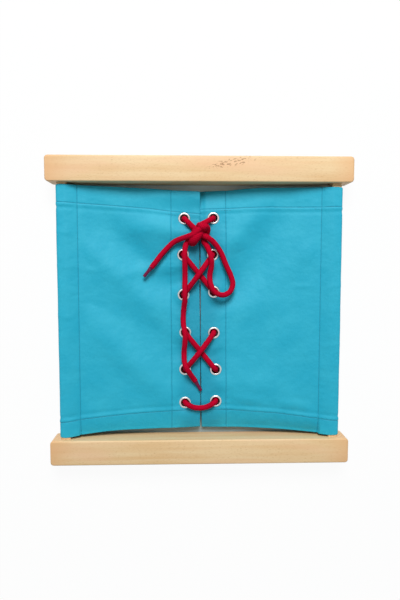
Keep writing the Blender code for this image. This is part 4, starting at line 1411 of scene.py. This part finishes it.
# %% Stitches along the lines
def stitches_along(points, out):
    """Each stitch's place and its turn, lengthwise along the line and flat on the cloth."""
    runs = runs_along(points)
    places = np.arange(STITCH_TRIM, runs[-1] - STITCH_TRIM, STITCH_PITCH)
    here = read_along(points, runs, places)
    ahead = read_along(points, runs, places + STITCH_AIM) - here
    ahead /= np.linalg.norm(ahead, axis=1, keepdims=True)
    up = read_along(out, runs, places)
    up -= ahead * (up * ahead).sum(axis=1, keepdims=True)
    up /= np.linalg.norm(up, axis=1, keepdims=True)
    return here + up * STITCH_LIFT, np.stack([ahead, np.cross(up, ahead), up], axis=-1)


def make_stitching(label, side):
    points, faces = [], []
    for line, out in stitch_rows(side):
        for place, turn in zip(*stitches_along(line, out)):
            first = len(points) * len(stitch_points)
            points.append((stitch_points @ turn.T + place) * (side, 1, 1))
            faces += [[first + k for k in face] for face in stitch_faces]
    obj = mesh_object(f"{label}_stitching", np.concatenate(points), faces)
    if side < 0:
        obj.data.flip_normals()
    obj.data.shade_smooth()
    bend_at_seam(obj)
    print(obj.name, len(points), "stitches")
    return obj


stitching = [make_stitching("left", -1), make_stitching("right", 1)]

# %% [markdown]
# A finish is built from a few nodes. They could be wired by hand in the shader editor, but a script
# can be read and run again. A small class keeps each node to one line: it adds the node with its
# settings and links, and gives back its output.


# %% Nodes in few words
class Nodes:
    """Short ways to add nodes to a tree. An input is a number, a colour or another node's output."""

    def __init__(self, tree):
        self.tree = tree

    def add(self, kind, settings=None, **inputs):
        node = self.tree.nodes.new("ShaderNode" + kind)
        for key, value in (settings or {}).items():
            setattr(node, key, value)
        for key, value in inputs.items():
            socket = node.inputs[int(key[1:])] if key[1:].isdigit() else node.inputs[key.replace("_", " ")]
            if isinstance(value, bpy.types.NodeSocket):
                self.tree.links.new(value, socket)
            else:
                socket.default_value = value
        return node

    def maths(self, operation, first, second=0.0, third=0.0):
        return self.add("Math", {"operation": operation}, i0=first, i1=second, i2=third).outputs[0]

    def times(self, first, second):
        return self.maths("MULTIPLY", first, second)

    def vectors(self, operation, first, second, output=0):
        return self.add("VectorMath", {"operation": operation}, i0=first, i1=second).outputs[output]

    def length(self, vector):
        return self.add("VectorMath", {"operation": "LENGTH"}, i0=vector).outputs["Value"]

    def parts(self, vector):
        """The vector's X, Y and Z."""
        return self.add("SeparateXYZ", i0=vector).outputs

    def mixed(self, share, first, second, way="MIX"):
        settings = {"data_type": "RGBA", "blend_type": way}
        return self.add("Mix", settings, i0=share, i6=first, i7=second).outputs[2]

    def tinted(self, colour, share, strength, tint, way="MIX"):
        """The colour with some of a tint, up to strength where the share is 1."""
        return self.mixed(self.times(share, strength), colour, tint, way)

    def ramp(self, value, *stops):
        """A colour ramp through (place, colour) stops."""
        node = self.add("ValToRGB", i0=value)
        elements = node.color_ramp.elements
        while len(elements) < len(stops):
            elements.new(0.5)
        for element, (place, colour) in zip(elements, stops):
            element.position = place
            element.color = (*colour, 1)
        return node.outputs[0]

    def rising(self, value, start, end, top=1.0):
        """0 up to the start, then rising to the top at the end."""
        return self.ramp(value, (start, (0, 0, 0)), (end, (top, top, top)))

    def between(self, value, start, end, smooth=False, **more):
        """0 at the start and 1 at the end."""
        settings = {"interpolation_type": "SMOOTHSTEP"} if smooth else None
        return self.add("MapRange", settings, Value=value, From_Min=start, From_Max=end, **more).outputs[0]

    def noise(self, place, scale, detail, output=0, **more):
        return self.add("TexNoise", Vector=place, Scale=scale, Detail=detail, **more).outputs[output]

    def stretched(self, place, scale=(1, 1, 1), **more):
        """The place with each axis multiplied: a pattern that reads it is that much finer there."""
        return self.add("Mapping", Vector=place, Scale=scale, **more).outputs[0]

    def object_place(self):
        return self.add("TexCoord").outputs["Object"]

    def kept(self, attribute):
        """A value that was kept with the mesh while it was built."""
        return self.add("Attribute", {"attribute_name": attribute}).outputs["Fac"]

    def seen(self):
        """1 where the camera looks, also in a mirror or through glass, and 0 for the light itself."""
        path = self.add("LightPath").outputs
        mirrored = self.maths("MAXIMUM", path["Is Glossy Ray"], path["Is Transmission Ray"])
        return self.maths("MAXIMUM", path["Is Camera Ray"], mirrored)


# %% A finish and where it goes
class Finish(Nodes):
    """A new material. What is the same all over it is set on the shader itself."""

    def __init__(self, name, **same_all_over):
        self.material = bpy.data.materials.new(name)
        self.material.use_nodes = True
        super().__init__(self.material.node_tree)
        self.shader = self.tree.nodes["Principled BSDF"]
        self.normal = None
        for key, value in same_all_over.items():
            self.shader.inputs[key.replace("_", " ")].default_value = value

    def drive(self, **outputs):
        """Lets nodes set the shader's inputs."""
        for key, output in outputs.items():
            self.tree.links.new(output, self.shader.inputs[key.replace("_", " ")])

    def bump(self, height, strength, distance):
        """Relief on top of the finish's earlier relief."""
        node = self.add("Bump", i0=strength, i1=distance, Height=height)
        if self.normal:
            self.tree.links.new(self.normal, node.inputs["Normal"])
        self.normal = node.outputs[0]
        self.drive(Normal=self.normal)

    def put_on(self, *objects):
        for obj in objects:
            obj.data.materials.clear()
            obj.data.materials.append(self.material)
        print(self.material.name, "on", len(objects), "pieces, with", len(self.tree.nodes), "nodes")


# %% [markdown]
# Beech is pale and even. Its grain is a faint long streak, and short dark dashes, the wood's rays,
# lie along it. A photograph of wood would repeat and show its edges, so the streaks and rays are
# noise stretched along the bar. The rails and the side bars differ only in which way it is turned,
# and in the warmer tint that the rails' open end grain takes.

# %% Beech
WOOD_PALE = (0.847, 0.608, 0.342, 1)
WOOD_WARM = (0.775, 0.498, 0.245, 1)
WOOD_PATCH = (0.93, 0.72, 0.46, 1)
WOOD_DASH = (0.55, 0.30, 0.13, 1)
WOOD_FIBRE = (0.62, 0.38, 0.18, 1)
WOOD_ROSY = (0.86, 0.52, 0.31, 1)
WOOD_END = (0.78, 0.42, 0.19, 1)
END_TINT_FROM = 0.128
END_TINT_FULL = 0.151


def beech(name, turn, end_tint):
    """Beech with its grain along X after the turn, its colour so far and its turned place."""
    wood = Finish(name, Roughness=0.5)
    place = wood.stretched(wood.object_place(), Rotation=turn)
    streaks = wood.noise(wood.stretched(place, (9, 150, 150)), 1.0, 4.0, Roughness=0.55, Distortion=0.3)
    patches = wood.noise(place, 14.0, 2.0)
    dashes = wood.noise(wood.stretched(place, (330, 2600, 2600)), 1.0, 1.5, Roughness=0.5)
    dashes = wood.rising(dashes, 0.60, 0.70)
    fibre = wood.noise(wood.stretched(place, (60, 3000, 3000)), 1.0, 3.0)
    rosy = wood.noise(wood.stretched(place, (11, 60, 60), Location=(0.37, 0.1, 0)), 1.0, 2.0)
    colour = wood.mixed(wood.rising(streaks, 0.36, 0.64), WOOD_PALE, WOOD_WARM)
    colour = wood.tinted(colour, wood.rising(patches, 0.35, 0.7, 0.8), 0.35, WOOD_PATCH)
    colour = wood.tinted(colour, dashes, 0.56, WOOD_DASH)
    colour = wood.tinted(colour, fibre, 0.14, WOOD_FIBRE)
    colour = wood.mixed(wood.rising(rosy, 0.5, 0.75, 0.55), colour, WOOD_ROSY)
    along = wood.maths("ABSOLUTE", wood.parts(place)[0])
    near_end = wood.between(along, END_TINT_FROM, END_TINT_FULL)
    colour = wood.tinted(colour, near_end, end_tint, WOOD_END)
    wood.drive(Base_Color=colour, Roughness=wood.maths("MULTIPLY_ADD", fibre, 0.18, 0.42))
    wood.bump(fibre, 0.25, 0.00012)
    wood.bump(dashes, 0.25, -0.00008)
    return wood, colour, place


side_bar_wood, _, _ = beech("Beech side bar", (0, 0, math.radians(-90)), 0.0)
side_bar_wood.put_on(*[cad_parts[name] for name in ("left_side_bar", "right_side_bar")])

# %% [markdown]
# The top rail has a small patch of dark slanting flecks, a flaw in the wood. It could be painted on
# a texture, which would then need a picture file. Stretched noise gives such strokes, and an oval
# mask keeps them to their place.

# %% Flecks on the top rail
FLECK_MIDDLE = (0.0315, 0.1490, 0)
FLECK_TILT = math.radians(11)
STROKE_LEAN = math.radians(-9)
PATCH_REACH = (0.034, 0.0058, 0.1)
FLECK_COLOUR = (0.30, 0.125, 0.035, 1)

wood, colour, place = beech("Beech rail", (0, 0, 0), 0.62)
place = wood.vectors("SUBTRACT", place, FLECK_MIDDLE)
place = wood.stretched(place, Rotation=(0, 0, -FLECK_TILT))
away = wood.length(wood.stretched(place, [1 / reach for reach in PATCH_REACH]))
patch = wood.between(away, 0.55, 1.0, To_Min=1.0, To_Max=0.0)
strokes = wood.stretched(place, (360, 900, 100), Rotation=(0, 0, STROKE_LEAN))
strokes = wood.noise(strokes, 1.0, 1.0, Roughness=0.4)
strokes = wood.maths("MULTIPLY_ADD", patch, 0.13, strokes)
flecks = wood.times(wood.rising(strokes, 0.680, 0.750), patch)
wood.drive(Base_Color=wood.tinted(colour, flecks, 0.75, FLECK_COLOUR))
wood.put_on(*rails)

# %% [markdown]
# Canvas is a plain weave: each thread goes over one and under one. Real threads as geometry would
# be millions of faces. The height of a thread's crown comes from two cosines over the cloth's own
# UV map instead. The map is in metres, so the weave has its real scale and follows the cloth round
# the bar. The gaps between threads are painted darker, as shade. The cloth is also painted darker
# by the slit and under the bow, as the shade that the lace, the knot and the bow cast there.

# %% Canvas
THREAD_PITCH = 0.00055
THREAD_WANDER = (0.0002, 0.0002, 0.0002)
CANVAS = (0.010, 0.42, 0.59, 1)
CANVAS_GAP_SHADE = (0.002, 0.33, 0.50, 1)
CANVAS_LIGHT = (0.035, 0.48, 0.64, 1)
CANVAS_GROOVE_SHADE = (0.001, 0.17, 0.28, 1)
LACE_SHADE_TINT = (0.55, 0.74, 0.77, 1)
BOW_SHADOW_MIDDLE = (0.0, 0.063, 0)
BOW_SHADOW_SIZE = (0.016, 0.020, 1)


def weave_height(nodes, place):
    """0 between the threads and 1 on their crowns."""
    angles = [nodes.times(part, math.pi / THREAD_PITCH) for part in nodes.parts(place)[:2]]
    a, b = [nodes.maths("COSINE", angle) for angle in angles]
    both = nodes.times(a, b)
    over = nodes.times(nodes.maths("ABSOLUTE", a), nodes.maths("MULTIPLY_ADD", both, OVER_UNDER, 1.0))
    under = nodes.times(nodes.maths("ABSOLUTE", b), nodes.maths("MULTIPLY_ADD", both, -OVER_UNDER, 1.0))
    return nodes.maths("DIVIDE", nodes.maths("MAXIMUM", over, under), 1 + OVER_UNDER)


canvas = Finish(
    "Turquoise canvas", Roughness=0.62, Sheen_Weight=0.06, Sheen_Roughness=0.4, Specular_IOR_Level=0.4
)
uv = canvas.add("UVMap", {"uv_map": "cloth"}).outputs[0]
wander = canvas.noise(uv, 260.0, 1.0, output="Color")
wander = canvas.add("VectorMath", {"operation": "MULTIPLY_ADD"}, i0=wander, i1=THREAD_WANDER, i2=uv)
weave = weave_height(canvas, wander.outputs[0])
slubs = canvas.noise(canvas.stretched(uv, (60, 2400, 1)), 1.0, 2.0)
# The gaps between the threads are painted darker, as shade.
colour = canvas.mixed(canvas.rising(weave, 0.25, 0.85), CANVAS_GAP_SHADE, CANVAS)
colour = canvas.tinted(colour, slubs, 0.22, CANVAS_LIGHT)
colour = canvas.mixed(canvas.rising(canvas.noise(uv, 38.0, 4.0), 0.35, 0.72, 0.42), colour, CANVAS_LIGHT)

# %% Painted shade by the lacing and under the bow
across, along, _ = canvas.parts(uv)
near_slit = canvas.between(across, 0.030, 0.008, smooth=True)
below_top = canvas.between(along, 0.102, 0.080, smooth=True)
# The cloth by the slit, below the top eyelets, is painted darker as the lace's shade.
painted_lace_shade = canvas.times(near_slit, canvas.maths("MULTIPLY_ADD", below_top, 0.85, 0.15))
colour = canvas.tinted(colour, painted_lace_shade, 0.75, LACE_SHADE_TINT, "MULTIPLY")
# A painted shadow of the knot and bow darkens the cloth just under them.
bow_shadow_place = canvas.vectors("DIVIDE", canvas.vectors("SUBTRACT", uv, BOW_SHADOW_MIDDLE), BOW_SHADOW_SIZE)
painted_bow_shadow = canvas.between(canvas.length(bow_shadow_place), 1.0, 0.25, smooth=True)
colour = canvas.tinted(colour, painted_bow_shadow, 0.85, LACE_SHADE_TINT, "MULTIPLY")
# The stitch grooves are painted darker, as shade in the grooves.
canvas.drive(Base_Color=canvas.tinted(colour, canvas.kept("groove"), 0.6, CANVAS_GROOVE_SHADE))
canvas.bump(canvas.noise(uv, 68.0, 3.0, Roughness=0.55), 0.85, 0.0012)
canvas.bump(weave, 0.4, 0.00012)
canvas.bump(slubs, 0.3, 0.00008)
canvas.put_on(*cloths.values())

# %% [markdown]
# The sewing thread has nearly the canvas's own colour, only deeper. A stitch is too small to show
# its plies, so fine noise stands in for the twist in the bump, and paints uneven glints, lighter
# spots, into the colour.

# %% Sewing thread
thread = Finish("Sewing thread", Roughness=0.55)
twist_and_glint = thread.noise(thread.object_place(), 4200.0, 1.0)
# The lighter spots of this mix are painted glints of the twisted thread.
thread.drive(Base_Color=thread.mixed(twist_and_glint, (0.004, 0.22, 0.34, 1), (0.012, 0.32, 0.45, 1)))
thread.bump(twist_and_glint, 0.4, 0.00005)
thread.put_on(*stitching)

# %% [markdown]
# The lace is matt cotton. Its colour is painted darker in the braid's grooves, as shade, from the
# attribute that was kept while the tube was built, so colour and form always agree. Fine fibres run
# along the strands, drawn on the cord's own UV map.

# %% Lace
BRAID_COLOURS_WITH_GROOVE_SHADE = ((0.25, (0.24, 0.0, 0.009)), (0.6, (0.50, 0.0, 0.020)), (1.0, (0.61, 0.0005, 0.027)))

braid = Finish("Red braid", Roughness=0.8, Specular_IOR_Level=0.06)
crown = braid.kept("crown")
uv = braid.add("UVMap", {"uv_map": "cord"}).outputs[0]
fibres = braid.noise(braid.stretched(uv, (5200, 700, 1)), 1.0, 2.0)
# The ramp paints shade into the braid's grooves and keeps the crowns bright red.
colour = braid.ramp(crown, *BRAID_COLOURS_WITH_GROOVE_SHADE)
braid.drive(Base_Color=braid.tinted(colour, fibres, 0.2, (0.68, 0.003, 0.04, 1)))
braid.bump(crown, 0.6, 0.00015)
braid.bump(fibres, 0.5, 0.00008)
braid.put_on(lacing, loop_end, long_end, *knot_turns)

# %% [markdown]
# The tips are dark red plastic film, wrapped tight and worn by use. Noise mixes two close reds and
# makes some places duller, which one flat colour can't show. Both reds lean to purple, a painted
# reflection of the blue canvas.

# %% Lace tips
film = Finish("Dark red tip", Roughness=0.35, Specular_IOR_Level=0.25)
worn = film.noise(film.object_place(), 900.0, 3.0)
# The purple cast of both reds is a painted reflection of the canvas.
film.drive(
    Base_Color=film.mixed(worn, (0.10, 0.001, 0.028, 1), (0.21, 0.003, 0.055, 1)),
    Roughness=film.maths("MULTIPLY_ADD", worn, 0.25, 0.35),
)
film.bump(worn, 0.2, 0.00005)
film.put_on(short_tip, long_tip)

# %% [markdown]
# The eyelets are nickel-plated: bright, with a soft haze of fine rubbed scratches. The screws are
# duller zinc-plated steel. Perfectly smooth metal looks like plastic under a soft lamp, so the haze
# and the scratches change how rough each spot is.


# %% Metal
def plated(name, colour, shade, rough):
    metal = Finish(name, Metallic=1.0)
    place = metal.object_place()
    haze = metal.noise(place, 350.0, 4.0)
    scratches = metal.noise(metal.stretched(place, (9000, 700, 900)), 1.0, 2.0)
    both = metal.maths("MULTIPLY_ADD", scratches, 0.16, rough)
    both = metal.maths("MULTIPLY_ADD", haze, 0.1, both)
    metal.drive(Base_Color=metal.mixed(haze, colour, shade), Roughness=both)
    metal.bump(scratches, 0.12, 0.00003)
    return metal


plated("Nickel eyelet", (0.64, 0.64, 0.63, 1), (0.46, 0.46, 0.47, 1), 0.20).put_on(*metal_pieces)
plated("Zinc screw", (0.72, 0.72, 0.74, 1), (0.55, 0.55, 0.56, 1), 0.25).put_on(*screws)

# %% [markdown]
# The frame lies on a white table. The floor catches its shadow inside the frame as a real table
# would. Inside the frame its colour is also painted: darker and bluer towards the bottom, as painted
# shade, and paler towards the top, as painted light, with a cyan tint of painted light off the canvas.
# Around the frame, the camera sees the floor lifted almost to white, because the photograph shows the
# frame on plain white. More lamp light would do that too, but it would bleach the wood.

# %% Floor
FLOOR_SIZE = 6
FLOOR_DROP = 0.0005
INSIDE_REACH = 0.142
INSIDE_BOTTOM_SHADE = (0.36, 0.44, 0.45, 1)
INSIDE_TOP_LIGHT = (0.92, 0.97, 0.96, 1)
PAPER_GREY = (0.5, 0.55, 0.56, 1)
OUTSIDE_GREY = (0.88, 0.88, 0.88, 1)

only()
bpy.ops.mesh.primitive_plane_add(size=FLOOR_SIZE, location=(0, 0, -FLOOR_DROP))
floor = named(settle(bpy.context.object), "floor")
table = Finish("White table", Roughness=0.9, Specular_IOR_Level=0.1)
place = table.object_place()
across, along, _ = table.parts(place)
paper = table.noise(place, 300.0, 3.0)
# Inside the frame: painted shade darker towards the bottom, painted light paler towards the top.
inside = table.mixed(table.between(along, -0.12, 0.12), INSIDE_BOTTOM_SHADE, INSIDE_TOP_LIGHT)
inside = table.tinted(inside, paper, 0.1, PAPER_GREY)
past = [table.maths("GREATER_THAN", table.maths("ABSOLUTE", part), INSIDE_REACH) for part in (across, along)]
beyond = table.maths("MAXIMUM", *past)
table.drive(Base_Color=table.mixed(beyond, inside, OUTSIDE_GREY))
table.bump(paper, 0.05, 0.0001)
white = table.add("Emission", Color=(1, 1, 1, 1), Strength=1.0).outputs[0]
lift = table.times(table.times(beyond, table.seen()), 0.94)
lifted = table.add("MixShader", i0=lift, i1=table.shader.outputs[0], i2=white).outputs[0]
table.tree.links.new(lifted, table.tree.nodes["Material Output"].inputs[0])
table.put_on(floor)

# %% [markdown]
# The light in the photograph is soft and comes from beyond the frame's top edge. Several small
# lamps could be balanced by hand, but each adds a shadow of its own. One large round area lamp and an
# even world give the same soft shadows under the rails and in the folds.

# %% Light
KEY_ELEVATION = math.radians(49)
KEY_DISTANCE = 1.9
KEY_SIZE = 0.85
KEY_POWER = 35
WORLD_STRENGTH = 0.28
WORLD_TINT = (0.84, 0.98, 1.0, 1)

key_place = (0, KEY_DISTANCE * math.cos(KEY_ELEVATION), KEY_DISTANCE * math.sin(KEY_ELEVATION))
bpy.ops.object.light_add(type="AREA", location=key_place, rotation=(KEY_ELEVATION - math.pi / 2, 0, 0))
key = bpy.context.object
key.data.shape = "DISK"
key.data.size = KEY_SIZE
key.data.energy = KEY_POWER
print("Key shines towards", tuple(round(v, 2) for v in key.rotation_euler.to_matrix() @ Vector((0, 0, -1))))

world = bpy.data.worlds.new("Studio")
bpy.context.scene.world = world
world.use_nodes = True
room = Nodes(world.node_tree)
backdrop = room.tree.nodes["Background"]
seen = room.seen()
strength = room.maths("MULTIPLY_ADD", seen, 1 - WORLD_STRENGTH, WORLD_STRENGTH)
room.tree.links.new(strength, backdrop.inputs["Strength"])
room.tree.links.new(room.mixed(seen, WORLD_TINT, (1, 1, 1, 1)), backdrop.inputs["Color"])

bpy.context.scene.view_settings.view_transform = "Standard"
